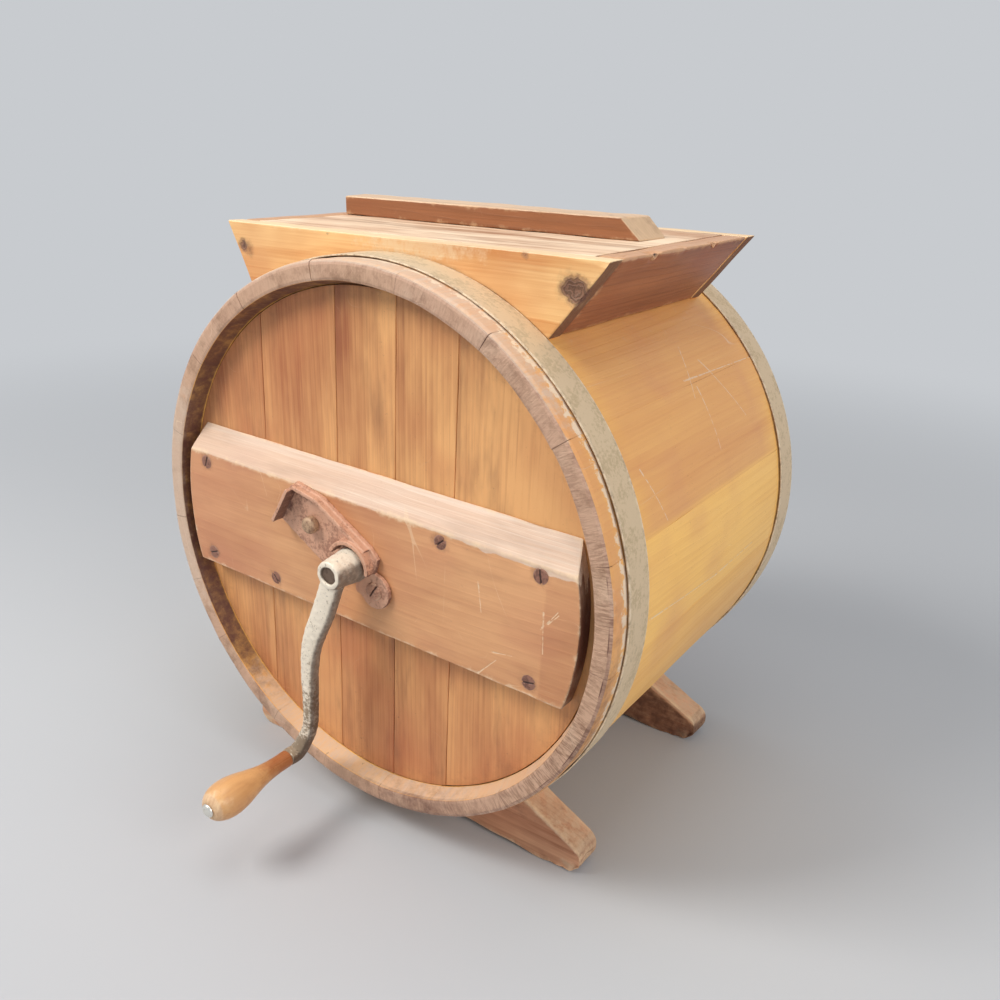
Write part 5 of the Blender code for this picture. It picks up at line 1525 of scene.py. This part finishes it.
@dataclass
class Batten:
    """Cross batten on the front head, with its screws."""

    face: float = 0.0007
    back: float = 0.0139
    rise: float = 0.0386
    drop: float = 0.0528
    bevel: float = 0.0199
    reach: float = 0.1755
    turn: float = 1.3
    screws: tuple[Place, ...] = (
        (-0.879, 0.92, 70.0), (-0.871, 0.103, 20.0), (-0.472, 0.103, 130.0),
        (0.402, 0.92, 40.0), (0.832, 0.925, 100.0), (0.812, 0.103, 10.0))
    chips: tuple[Place, ...] = (
        (0.048, 0.005, 0.0005), (0.085, 0.006, 0.0007), (0.112, 0.004, 0.0008),
        (0.135, 0.005, 0.0009), (0.152, 0.004, 0.0007))

    def _board(self) -> Surface:
        """The bevelled board, with its ends cut to the head's circle."""
        top = self.rise + self.bevel
        outline = ((self.face, -self.drop), (self.face, self.rise), (self.back, top), (self.back, -self.drop))

        def section(runs: Array) -> Array:
            """The same section all along."""
            x = (2.0 * runs - 1.0) * self.reach
            return ruled(*((x, y, z) for y, z in outline))

        made = board(section, 2.0 * self.reach, 190, spread=40, radius=0.001, wear=0.0022, pull=0.5)
        x, y, z = np.moveaxis(made.points, -1, 0)
        made.points[..., 0] = x * np.sqrt(np.maximum(1.0 - (z / self.reach) ** 2, 0.05))
        chip = 0.0004 + smooth(x, 0.03, 0.16) * (0.003 + 0.0012 * ripple(made.points, 0.012, 5))
        bevel = smooth(z, self.rise - chip - 0.0016, self.rise - chip + 0.0016)
        made.marks["pale"] = bevel * (y < self.back - 0.0004)
        tone = 0.5 * smooth(x, 0.1495, 0.1515) + 0.3 * smooth(-x, 0.05, 0.16) * smooth(-z, -0.03, 0.04)
        made.marks["tone"] = tone * (z < self.rise)
        made.marks["ruddy"] = 0.45 * smooth(-x, 0.06, 0.17) * (z < self.rise)
        # Painted shadow on the batten's ends, where they meet the chime's wall.
        end = 0.85 * smooth(x, self.reach * 0.985, self.reach)
        made.marks["stain_and_shade"] = end * (y > self.face + 0.0012)
        return made.placed()

    def _seat(self, across: float, up: float) -> Place:
        """World place on the turned face, from shares of its half length and of its height."""
        cos, sin = math.cos(math.radians(self.turn)), math.sin(math.radians(self.turn))
        x, z = across * self.reach, -self.drop + up * (self.rise + self.drop)
        return BARREL.at(x * cos + z * sin, self.face, -x * sin + z * cos)

    def build(self) -> None:
        """Build the batten and its screws."""
        spots = [self._seat(across, up) for across, up, _ in self.screws]
        dents = [Dent(spot, 0.0062, 0.0009) for spot in spots]
        for x, size, deep in self.chips:
            dents.append(Dent(BARREL.at(x, self.face + 0.001, self.rise - 0.002 - 0.023 * x), size, deep))
        piece = Piece(
            "front_batten_wood", [self._board()], Finish.BATTEN, Body.CHURN, "batten_wood",
            ("front_batten",), Axis.X, 0.35, 41, uneven=0.0002, swell=0.05, dents=tuple(dents),
            # Darker ring round each screw: rust staining, and painted shade of its countersink.
            stain_and_shade_spots=tuple(Dent(spot, 0.0085, 0.62) for spot in spots), turn=self.turn,
            turn_about=BARREL.at(*ZERO))
        carve(piece.build(), BARREL.at(0.0, 0.0, -0.004), 0.0093)
        for number, (spot, (_, _, slot_turn)) in enumerate(zip(spots, self.screws), 1):
            node = f"batten_screw_{number}"
            head = dome(np.array(spot) + (0.0, 0.0006, 0.0), FORWARD, 0.0053, 0.0007, 0.0006, slot_turn)
            Piece(
                f"{node}_head", [head], Finish.SCREW, Body.CHURN, "rusty_screw", (node,), Axis.Y,
                seed=50 + number).build()


def carve(item: bpy.types.Object, centre: Place, radius: float) -> None:
    """Bore a round way along Y through a piece.

    Args:
        item: The piece.
        centre: A place on the way's line.
        radius: Radius of the way.
    """
    profile = np.array(((radius, -0.05), (radius, 0.05)))
    cutter = Piece("way", [turned(profile, centre, 64)], Finish.RUST, Body.CHURN, "").stock()
    modifier = item.modifiers.new("way", "BOOLEAN")
    modifier.operation = "DIFFERENCE"
    modifier.solver = "EXACT"
    modifier.object = cutter
    mesh = bpy.data.meshes.new_from_object(item.evaluated_get(bpy.context.evaluated_depsgraph_get()))
    item.modifiers.clear()
    item.data = mesh
    bpy.data.objects.remove(cutter)


@dataclass
class Latch:
    """Cast latch plate with its pivot screw and its thumb screw."""

    face: float = -0.0029
    pivot: Pair = (0.0176, -0.0201)
    thumb: Pair = (-0.03786, 0.01558)
    pivot_head: Pair = (0.0066, 0.002)
    thumb_head: Pair = (0.0061, 0.0068)

    def build(self) -> None:
        """Build the plate and both screws."""
        plate = Cast.of_node("latch_plate", 0.00045, 3)
        # Painted shadow of the ear: its shaded face and the plate beside it.
        painted_ear_shadow = (
            Dent((-0.0622, -0.1005, 0.2478), 0.0058, 0.95),
            Dent((-0.067, -0.1005, 0.2428), 0.0045, 0.95))
        # The casting is painted darker on faces turned down and to the right: painted shade on the side away
        # from the light.
        Piece(
            "latch_casting", [plate], Finish.RUST, Body.LATCH, "rusty_casting", ("latch_plate",), Axis.Y,
            seed=61, uneven=0.00012, swell=0.006, sharp=80.0, painted_shade_way=(0.45, 0.0, -0.62), stain_and_shade_spots=painted_ear_shadow).build()
        base = self.face - 0.0003
        seat = np.array(BARREL.at(self.pivot[0], base, self.pivot[1]))
        head = dome(seat, FORWARD, *self.pivot_head, 0.00065, 58.0)
        Piece(
            "latch_pivot_head", [head], Finish.PIVOT, Body.CHURN, "rusty_screw",
            ("latch_pivot_screw",), Axis.Y, seed=62).build()
        radius, height = self.thumb_head
        t = np.linspace(0.0, np.pi / 2.0, 14)
        top = np.stack((radius * np.cos(t) ** 0.6, base - height * (0.55 + 0.45 * np.sin(t))), axis=-1)[:-1]
        foot = ((0.0005, base), (radius * 0.8, base), (radius * 0.97, base - 0.0001), (radius, base - 0.0006))
        profile = np.vstack((foot, top, ((0.0004, base - height),)))
        knob = turned(profile, BARREL.at(self.thumb[0], 0.0, self.thumb[1]), 64)
        Piece(
            "thumb_screw_head", [knob], Finish.THUMB, Body.THUMB, "rusty_screw", ("thumb_screw",),
            Axis.Y, seed=63, uneven=0.0001, swell=0.004).build()


@dataclass
class Crank:
    """Cast crank with its hub, swept arm and elbow, and the turned grip on its spindle."""

    axis: Pair = (0.0, -0.004)
    hub_end: float = -0.0289
    hub_base: float = -0.0034
    hub_radii: Pair = (0.0102, 0.0126)
    bore: float = 0.0063
    plane: float = -0.0207
    throw: Pair = (0.0453, 0.162)
    thick: float = 0.0108
    wide: float = 0.0172
    elbow: float = 0.0125
    path: tuple[Pair, ...] = (
        (0.30, 0.215), (0.565, 0.385), (0.655, 0.53), (0.675, 0.70), (0.715, 0.83), (0.87, 0.93))
    widths: tuple[float, ...] = (1.0, 1.02, 0.90, 0.74, 0.62, 0.60, 0.66, 0.74, 0.74, 0.74)
    grip_start: float = -0.0337
    grip_length: float = 0.0722
    grip_radius: float = 0.0137
    grip_bore: float = 0.0035
    grip_shape: tuple[Pair, ...] = (
        (0.0, 0.43), (0.02, 0.46), (0.18, 0.47), (0.34, 0.55), (0.48, 0.71),
        (0.62, 0.90), (0.75, 1.0), (0.86, 0.96), (0.94, 0.80), (0.985, 0.60), (1.0, 0.45))
    def _hub(self) -> Surface:
        """Bored hub, as a ring turned from its section."""
        end, base = self.hub_radii
        profile = np.array((
            (self.bore, self.hub_end + 0.0006), (self.bore + 0.0006, self.hub_end),
            (end - 0.0016, self.hub_end), (end - 0.0005, self.hub_end + 0.0005),
            (end, self.hub_end + 0.0018), (base - 0.0006, self.hub_base - 0.0075),
            (base, self.hub_base - 0.0045), (base, self.hub_base), (self.bore, self.hub_base)))
        return turned(profile, BARREL.at(self.axis[0], 0.0, self.axis[1]), 96, ring=True)

    def _arm(self) -> Surface:
        """Arm: a superellipse |u|^2.6 + |v|^2.6 = 1 carried along a smooth path."""
        sway, down = self.throw
        bends = [np.array((-a * sway, 0.0, -b * down)) for a, b in self.path]
        elbow = [np.array((-sway, -share * self.elbow, -down)) for share in (0.22, 0.72, 1.0)]
        root = bends[0] / np.linalg.norm(bends[0]) * 0.0085
        path = curve_through(np.array([root, *bends, *elbow]), 14)
        ways = unit(np.gradient(path, axis=0))
        wide_way = np.cross(ways, (0.0, 1.0, 0.0))
        turn_in = smooth(np.abs(ways[:, 1]), 0.6, 1.0)[:, None]
        wide_way = unit((1.0 - turn_in) * wide_way + turn_in * np.array((0.96, 0.0, -0.28)))
        wide_way = unit(wide_way - ways * np.sum(wide_way * ways, axis=1, keepdims=True))
        thick_way = np.cross(ways, wide_way)
        knots = np.linspace(0.0, 1.0, len(self.widths))
        half = self.wide / 2.0 * np.interp(np.linspace(0.0, 1.0, len(path)), knots, self.widths)
        thick = np.minimum(self.thick / 2.0, half)
        angle = np.linspace(0.0, 2.0 * np.pi, 48, endpoint=False)
        bulge = (np.abs(np.cos(angle)) ** 2.6 + np.abs(np.sin(angle)) ** 2.6) ** (-1.0 / 2.6)
        u, v = bulge * np.cos(angle), bulge * np.sin(angle)
        loops = path[:, None] + wide_way[:, None] * (half[:, None] * u)[..., None]
        loops = loops + thick_way[:, None] * (thick[:, None] * v)[..., None]
        return Surface(loops + np.array((self.axis[0], self.plane, self.axis[1])) + BARREL.shift())

    def _grip(self, centre: Place) -> Surface:
        """Turned grip with its bore, darker at the elbow's end and pale at the other."""
        shape = np.array(self.grip_shape)
        places = self.grip_start - shape[:, 0] * self.grip_length
        curve = curve_through(np.stack((shape[:, 1] * self.grip_radius, places), axis=-1), 8)
        bore = self.grip_bore
        profile = np.vstack(((bore, self.grip_start), curve, (bore, self.grip_start - self.grip_length)))
        grip = turned(profile, centre, 80, ring=True)
        along = (self.grip_start - profile[:, 1:2]) / self.grip_length
        grip.marks["stain_and_shade"] = np.repeat(0.85 * (1.0 - smooth(along, 0.05, 0.8)), 80, axis=1)
        grip.marks["pale"] = np.repeat(0.5 * smooth(along, 0.62, 1.0), 80, axis=1)
        return grip

    def _spindle(self, centre: Place) -> Surface:
        """Spindle through the grip, with its riveted cap."""
        start, base = self.grip_start + 0.0003, self.grip_start - self.grip_length - 0.0003
        t = np.linspace(0.0, np.pi / 2.0, 12)[1:]
        cap = np.stack((0.005 * np.cos(t) ** 0.7, base - 0.0004 - 0.0022 * np.sin(t)), axis=-1)[:-1]
        stem = ((0.0004, start), (0.0031, start), (0.0032, base), (0.0046, base), (0.005, base - 0.0004))
        return turned(np.vstack((stem, cap, ((0.0003, base - 0.0026),))), centre, 64)

    def build(self) -> None:
        """Build the crank, its grip and the spindle."""
        casting = Cast.of([self._hub(), self._arm()], 0.0005, 5)
        hub = Dent(BARREL.at(self.axis[0], -0.014, self.axis[1]), 0.015, 0.42)
        # The casting is painted darker on faces turned right and down: painted shade on the side away from
        # the light. The dark spot round the hub is its patina.
        Piece(
            "crank_casting", [casting], Finish.CRANK, Body.CRANK, "crank_iron", ("crank_arm",), Axis.Y,
            seed=71, painted_shade_way=(0.66, 0.0, -0.3), uneven=0.00014, swell=0.006, sharp=80.0, stain_and_shade_spots=(hub,)).build()
        centre = BARREL.at(self.axis[0] - self.throw[0], 0.0, self.axis[1] - self.throw[1])
        # The grip is painted darker on faces turned right and down: painted shade.
        Piece(
            "crank_grip_wood", [self._grip(centre)], Finish.GRIP, Body.GRIP, "grip_maple", ("crank_grip",),
            Axis.Y, 0.3, 72, uneven=0.00012, swell=0.03, painted_shade_way=(0.3, 0.0, -0.3)).build()
        Piece(
            "grip_spindle_steel", [self._spindle(centre)], Finish.STEEL, Body.CRANK, "spindle_steel",
            ("grip_spindle",), Axis.Y, seed=73).build()


@dataclass
class Hopper:
    """Flared hopper: two boards cut to the barrel, and two sloping sides between them."""

    fronts: Pair = (0.0425, 0.0565)
    rears: Pair = (0.248, 0.262)
    rise: float = 0.2086
    top_half: float = 0.15830
    feet: Pair = (0.11870, 0.12970)
    thick: float = 0.014
    face: float = -0.0553
    brim: float = 0.4321

    def build(self) -> None:
        """Build the four boards."""
        self._ends()
        self._sides()

    def _end(self, low: float, high: float, wear: float) -> Surface:
        """End board, ruled from the barrel's curve z = sqrt(R^2 - x^2) up to the level top.

        Args:
            low: First Y place.
            high: Second Y place.
            wear: Share of the edges' wear.

        Returns:
            The board.
        """
        def section(runs: Array) -> Array:
            """Upright section from the curve to the top."""
            foot = -self.feet[1] + (self.feet[0] + self.feet[1]) * runs
            low_z = np.sqrt((BARREL.radius + 0.0004) ** 2 - foot ** 2)
            top = (2.0 * runs - 1.0) * self.top_half
            up = self.rise
            return ruled((foot, low, low_z), (top, low, up), (top, high, up), (foot, high, low_z))

        made = board(section, 2.0 * self.top_half, 170, spread=34, radius=0.0011, wear=0.0024, pull=0.55)
        x, z = made.points[..., 0], made.points[..., 2]
        middle = np.exp(-((x - 0.02) / 0.07) ** 2) * smooth(z, 0.19, 0.204)
        rim = 0.8 * smooth(z, self.rise - 0.0012, self.rise - 0.0002)
        made.marks["pale"] = np.maximum(rim, 0.75 * middle)
        made.marks["edge"] = made.marks["edge"] * wear
        return made.placed()

    def _ends(self) -> None:
        """Build the front and rear boards."""
        knots = (
            Dent((0.1368, self.face, 0.4135), 0.0086, 1.0), Dent((0.1318, self.face, 0.4146), 0.0068, 0.9),
            Dent((0.1004, self.face, 0.4303), 0.0032, 0.55), Dent((-0.1437, self.face, 0.4157), 0.0052, 0.75))
        halo = (
            Dent((0.133, self.face, 0.4155), 0.0135, 0.5), Dent((-0.1385, self.face, 0.4135), 0.0085, 0.6),
            Dent((-0.058, self.face, 0.4306), 0.0016, 0.7), Dent((0.1455, self.face, 0.404), 0.007, 0.5))
        bites = (
            Dent((-0.1437, self.face, 0.4157), 0.003, 0.0012),
            Dent((0.1353, self.face, 0.4139), 0.005, 0.001),
            Dent((0.1545, self.face, self.brim), 0.004, 0.0016))
        shared = (Finish.HOPPER, Body.CHURN, "hopper_pine")
        Piece(
            "hopper_front_board_wood", [self._end(*self.fronts, 1.0)], *shared, ("hopper_front_board",),
            Axis.X, 0.3, 82, uneven=0.00025, swell=0.06, stain_and_shade_spots=halo, dents=bites, knots=knots).build()
        Piece(
            "hopper_rear_board_wood", [self._end(*self.rears, 0.35)], *shared, ("hopper_rear_board",),
            Axis.X, 0.3, 81, uneven=0.00025, swell=0.06).build()

    def _side(self, side: float, foot_half: float) -> Surface:
        """Side board that leans out from the barrel, the same all along Y.

        Args:
            side: 1 for the right one and -1 for the left.
            foot_half: Distance of its foot from the middle.

        Returns:
            The board.
        """
        seat = BARREL.radius + 0.0006
        foot = np.array((foot_half, math.sqrt(seat ** 2 - foot_half ** 2)))
        top = np.array((self.top_half, self.rise))
        run = (top - foot) / np.linalg.norm(top - foot)
        inner_top = top - (self.thick / run[1], 0.0)
        line = foot + np.array((-run[1], run[0])) * self.thick
        reach = float(line @ run)
        inner_foot = line + run * (-reach + math.sqrt(reach ** 2 - line @ line + seat ** 2))
        low, high = self.fronts[1] + 0.0003, self.rears[0] - 0.0003

        def section(runs: Array) -> Array:
            """The same section all along."""
            y = low + (high - low) * runs
            return ruled(*((side * x, y, z) for x, z in (foot, top, inner_top, inner_foot)))

        made = board(section, high - low, 150, spread=30, radius=0.0026, wear=0.0042, pull=0.3)
        made.marks["pale"] = 0.8 * smooth(made.points[..., 2], self.rise - 0.0032, self.rise - 0.0008)
        return made.placed()

    def _sides(self) -> None:
        """Build the two sloping boards, which stand on the barrel."""
        bites = (
            Dent((0.1532, 0.0037, self.brim), 0.0044, 0.0052),
            Dent((0.1564, 0.0929, self.brim), 0.0036, 0.0036),
            Dent((0.1545, 0.045, self.brim), 0.003, 0.0012), Dent((0.15, -0.03, self.brim), 0.004, 0.001),
            Dent((0.1275, 0.1, 0.381), 0.004, 0.0022))
        stain_and_shade_spots = (Dent(bites[0].at, 0.0034, 1.3), Dent(bites[1].at, 0.002, 1.1))
        paled = tuple(Dent(bite.at, 0.0058, 0.9) for bite in bites[:2])
        shared = (Finish.HOPPER_SIDE, Body.CHURN, "hopper_side_pine")
        Piece(
            "hopper_right_board_wood", [self._side(1.0, self.feet[0])], *shared, ("hopper_right_board",),
            Axis.Y, 0.4, 86, uneven=0.0003, swell=0.04, dents=bites, stain_and_shade_spots=stain_and_shade_spots, paled=paled).build()
        Piece(
            "hopper_left_board_wood", [self._side(-1.0, self.feet[1])], *shared, ("hopper_left_board",),
            Axis.Y, 0.4, 84, uneven=0.0003, swell=0.04).build()


@dataclass
class Lid:
    """Lid board wedged between the hopper's sides, with its handle bar."""

    thick: float = 0.015
    slopes: Pair = (0.494, 0.795)
    bar_left: float = 0.14152
    bar_right: float = 0.12150
    left_cut: tuple[float, ...] = (0.0, 0.0, -0.012, -0.012)
    right_cut: tuple[float, ...] = (0.0, -0.016, -0.012, 0.002)

    def _board(self) -> Surface:
        """The lid, whose long edges slope with the hopper's sides."""
        low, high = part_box("lid")
        outline = (
            (low.x + self.slopes[0] * self.thick, low.z), (high.x - self.slopes[1] * self.thick, low.z),
            (high.x, high.z), (low.x, high.z))

        def section(runs: Array) -> Array:
            """The same section all along Y."""
            y = low.y + (high.y - low.y) * runs
            return ruled(*((x, y, z) for x, z in outline))

        return board(section, high.y - low.y, 90, spread=60, radius=0.0009, wear=0.003, pull=0.4)

    def build(self) -> None:
        """Build the lid and its bar."""
        Piece(
            "lid_wood", [self._board()], Finish.LID, Body.LID, "lid_pine", ("lid",), Axis.X, 0.3, 91,
            uneven=0.0002, swell=0.05).build()
        low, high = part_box("lid_bar")
        corners = ((low.y, low.z), (low.y, high.z), (high.y, high.z), (high.y, low.z))
        left = np.array([(-self.bar_left + cut, *corner) for cut, corner in zip(self.left_cut, corners)])
        right = np.array([(self.bar_right + cut, *corner) for cut, corner in zip(self.right_cut, corners)])

        def section(runs: Array) -> Array:
            """Straight rulings from the left end's corners to the right end's."""
            return left + (right - left) * runs[:, None, None]

        length = self.bar_left + self.bar_right
        made = board(section, length, 130, spread=16, radius=0.0012, wear=0.0026, pull=0.55)
        made.marks["pale"] = 0.8 * smooth(made.points[..., 2], high.z - 0.0016, high.z - 0.0002)
        knot = Dent((0.0925, low.y + 0.012, high.z), 0.003, 0.9)
        Piece(
            "lid_bar_wood", [made], Finish.BAR, Body.LID, "lid_pine", ("lid_bar",), Axis.X, 0.35, 92,
            uneven=0.00025, swell=0.04, stain_and_shade_spots=(knot,)).build()


@dataclass
class Feet:
    """Two cradle boards under the barrel."""

    starts: Pair = (0.0453, 0.2445)
    thick: float = 0.025
    drop: float = 0.2235
    half: float = 0.1645
    shoulder: float = 0.102
    nose: float = 0.013
    arch: float = 0.0034
    pad: float = 0.026

    def build(self) -> None:
        """Build both feet."""
        for number, (name, start) in enumerate(zip(("front_foot", "rear_foot"), self.starts)):
            # The rear foot is painted darker, in tone and below its shoulders: painted shade, as it stands in
            # the barrel's shadow.
            made = self._board(start, 0.66 * number)
            y = BARREL.front + start
            bites = (
                Dent((0.16, y, 0.006), 0.005, 0.0028), Dent((0.15, y, 0.003), 0.005, 0.0024),
                Dent((0.14, y, 0.002), 0.004, 0.0014), Dent((0.163, y + 0.012, 0.012), 0.005, 0.002),
                Dent((0.1635, y + 0.004, 0.016), 0.004, 0.0018))
            toes = tuple(Dent((0.154 * side, y, 0.004), 0.0105, 0.72) for side in (-1.0, 1.0))
            darkening = (
                Dent((0.105, y, 0.04), 0.024, 0.4), Dent((0.135, y, 0.004), 0.008, 0.42),
                Dent((-0.12, y, 0.02), 0.02, 0.45), Dent((0.13, y + self.thick, 0.03), 0.02, 0.4))
            Piece(
                f"{name}_wood", [made], Finish.FOOT, Body.CHURN, "foot_wood", (name,), Axis.X,
                0.35 + 0.1 * number, 95 + number, uneven=0.0003, swell=0.04, dents=bites,
                paled=toes, stain_and_shade_spots=darkening).build()

    def _board(self, start: float, stain_and_shade: float) -> Surface:
        """One foot: seat arc, sloping shoulder and round nose above, pads and a low arch below.

        Args:
            start: Y place of its front.
            stain_and_shade: How far its face is painted darker below the shoulders: painted shade, which only
                the rear foot gets, as it stands in the barrel's shadow.

        Returns:
            The board, bleached along its shoulders.
        """
        nose_x, nose_z = self.half - self.nose, -self.drop + self.nose
        seat = BARREL.radius + 0.0004
        shoulder_z = -math.sqrt(seat ** 2 - self.shoulder ** 2)
        bearing = math.atan2(shoulder_z - nose_z, self.shoulder - nose_x)
        touch = bearing - math.acos(self.nose / math.hypot(self.shoulder - nose_x, shoulder_z - nose_z))
        touch_x, touch_z = nose_x + self.nose * math.cos(touch), nose_z + self.nose * math.sin(touch)
        arch_half = nose_x - self.pad

        def slope(out: Array) -> Array:
            """Height of the shoulder's line, which touches the nose."""
            return shoulder_z + (touch_z - shoulder_z) * (out - self.shoulder) / (touch_x - self.shoulder)

        def section(runs: Array) -> Array:
            """Upright section between the outlines above and below."""
            x = (2.0 * runs - 1.0) * (self.half - 0.0002)
            out = np.abs(x)
            nose = np.sqrt(np.maximum(self.nose ** 2 - np.maximum(out - nose_x, 0.0) ** 2, 1e-8))
            arc = -np.sqrt(np.maximum(seat ** 2 - x ** 2, 1e-6))
            arch = -self.drop + self.arch * (1.0 - (x / arch_half) ** 4)
            top = np.where(out < self.shoulder, arc, np.where(out < touch_x, slope(out), nose_z + nose))
            low = np.where(out < arch_half, arch, np.where(out < nose_x, -self.drop, nose_z - nose))
            back = start + self.thick
            return ruled((x, start, low), (x, start, top), (x, back, top), (x, back, low))

        made = board(section, 2.0 * self.half, 200, spread=16, radius=0.0013, wear=0.003, pull=0.8)
        out, z = np.abs(made.points[..., 0]), made.points[..., 2]
        above = z - slope(out)
        made.marks["pale"] = 0.62 * smooth(out, 0.09, 0.1) * smooth(above, -0.0045, -0.0012)
        made.marks["stain_and_shade"] = stain_and_shade * smooth(-above, 0.001, 0.005)
        return made.placed()


@dataclass
class Inside:
    """Pieces inside the barrel, which keep the frame's own solids."""

    finishes: tuple[tuple[str, Finish], ...] = (
        ("dasher_hub", Finish.DASHER), ("dasher_blade_1", Finish.DASHER), ("dasher_blade_2", Finish.DASHER),
        ("dasher_blade_3", Finish.DASHER), ("dasher_blade_4", Finish.DASHER), ("rear_pivot", Finish.RUST),
        ("crank_shaft", Finish.SHAFT))

    def build(self) -> None:
        """Give the solids their finishes."""
        for node, finish in self.finishes:
            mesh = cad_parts[node].data
            mesh.materials.clear()
            mesh.materials.append(finish.material())
            LOG.info("%s: finish only", node)


@dataclass
class Studio:
    """Pale floor, soft light and the camera at the photograph's place."""

    eye: Place = (0.4061, -0.5254, 0.4947)
    yaw: float = 0.5947
    pitch: float = 0.3711
    roll: float = 0.0301
    lens: float = 33.68
    floor: Tint = rgb(188, 191, 195)
    backdrop: Tint = rgb(200, 203, 207)
    sky: Tint = (0.90, 0.92, 0.96)

    def build(self) -> None:
        """Build the studio."""
        self._camera()
        self._floor()
        self._sky()
        self._lamp("key", (-0.95, -1.15, 1.75), (0.0, 0.0, 0.2), 0.8, 34.5, (1.0, 0.97, 0.93))
        self._lamp("top", (0.05, 0.05, 2.2), (0.0, 0.05, 0.2), 1.3, 11.0, (1.0, 0.98, 0.95))
        self._lamp("side", (1.7, -0.5, 1.0), (0.0, 0.05, 0.2), 1.2, 14.5, (1.0, 0.97, 0.94))
        bpy.context.scene.view_settings.view_transform = "Standard"

    def _camera(self) -> None:
        """Camera turned by yaw, pitch and roll, with no shift."""
        level = math.cos(self.pitch)
        forward = np.array((-math.sin(self.yaw) * level, math.cos(self.yaw) * level, -math.sin(self.pitch)))
        right = np.array((math.cos(self.yaw), math.sin(self.yaw), 0.0))
        up = np.cross(right, forward)
        turned_right = math.cos(self.roll) * right + math.sin(self.roll) * up
        turned_up = -math.sin(self.roll) * right + math.cos(self.roll) * up
        data = bpy.data.cameras.new("camera")
        data.lens = self.lens
        data.sensor_width = 36.0
        item = link("camera", data)
        matrix = np.eye(4)
        matrix[:3] = np.stack((turned_right, turned_up, -forward, self.eye), axis=1)
        item.matrix_world = Matrix(matrix.tolist())
        bpy.context.scene.camera = item

    def _floor(self) -> None:
        """Large plain floor, which turns into the backdrop's own colour far from the churn."""
        mesh = bpy.data.meshes.new("studio_floor")
        corners = [(-6.0, -6.0, 0.0), (6.0, -6.0, 0.0), (6.0, 6.0, 0.0), (-6.0, 6.0, 0.0)]
        mesh.from_pydata(corners, [], [(0, 1, 2, 3)])
        g, shader = new_material("studio_floor")
        shader.inputs["Base Color"].default_value = (*self.floor, 1.0)
        shader.inputs["Roughness"].default_value = 0.9
        far = g.vectors("LENGTH", g.coordinates(), output="Value")
        glow = g.add("Emission", {"Color": self.backdrop, "Strength": 1.0})
        seen = g.times(g.span(far, 0.55, 1.9), self._seen(g))
        both = g.add("MixShader", {0: seen, 1: shader.outputs[0], 2: glow.outputs[0]})
        g.feed(g.tree.nodes["Material Output"].inputs["Surface"], both.outputs[0])
        mesh.materials.append(bpy.data.materials["studio_floor"])
        item = link("studio_floor", mesh)

    def _sky(self) -> None:
        """Even light from all round, which the camera sees as a pale backdrop."""
        world = bpy.data.worlds.new("studio_sky")
        world.use_nodes = True
        bpy.context.scene.world = world
        graph = Graph(world.node_tree)
        node = world.node_tree.nodes["Background"]
        seen = self._seen(graph)
        graph.feed(node.inputs["Color"], graph.blend(seen, self.sky, self.backdrop))
        graph.feed(node.inputs["Strength"], graph.line(seen, 0.62, 0.38))

    def _seen(self, graph: Graph) -> Socket:
        """One for what the camera sees, straight or in gloss or glass."""
        path = graph.add("LightPath")
        seen = graph.calc("MAXIMUM", path.outputs["Is Camera Ray"], path.outputs["Is Glossy Ray"])
        return graph.calc("MAXIMUM", seen, path.outputs["Is Transmission Ray"])

    def _lamp(self, name: str, eye: Place, aim: Place, size: float, power: float, colour: Tint) -> None:
        """Square soft lamp.

        Args:
            name: Name of the lamp.
            eye: Where it hangs.
            aim: Where it points.
            size: Side in metres.
            power: Power in watts.
            colour: Colour of its light.
        """
        data = bpy.data.lights.new(name, "AREA")
        data.size = size
        data.energy = power
        data.color = colour
        item = link(name, data)
        item.location = eye
        item.rotation_euler = (Vector(eye) - Vector(aim)).to_track_quat("Z", "Y").to_euler()


def main() -> None:
    """Build the churn's looks, then the studio."""
    logging.basicConfig(level=logging.INFO, format="%(message)s")
    for part in (
        Staves(), Hoops(), Heads(), Batten(), Latch(), Crank(), Hopper(), Lid(), Feet(), Inside(), Studio()):
        part.build()


if __name__ == "__main__":
    main()
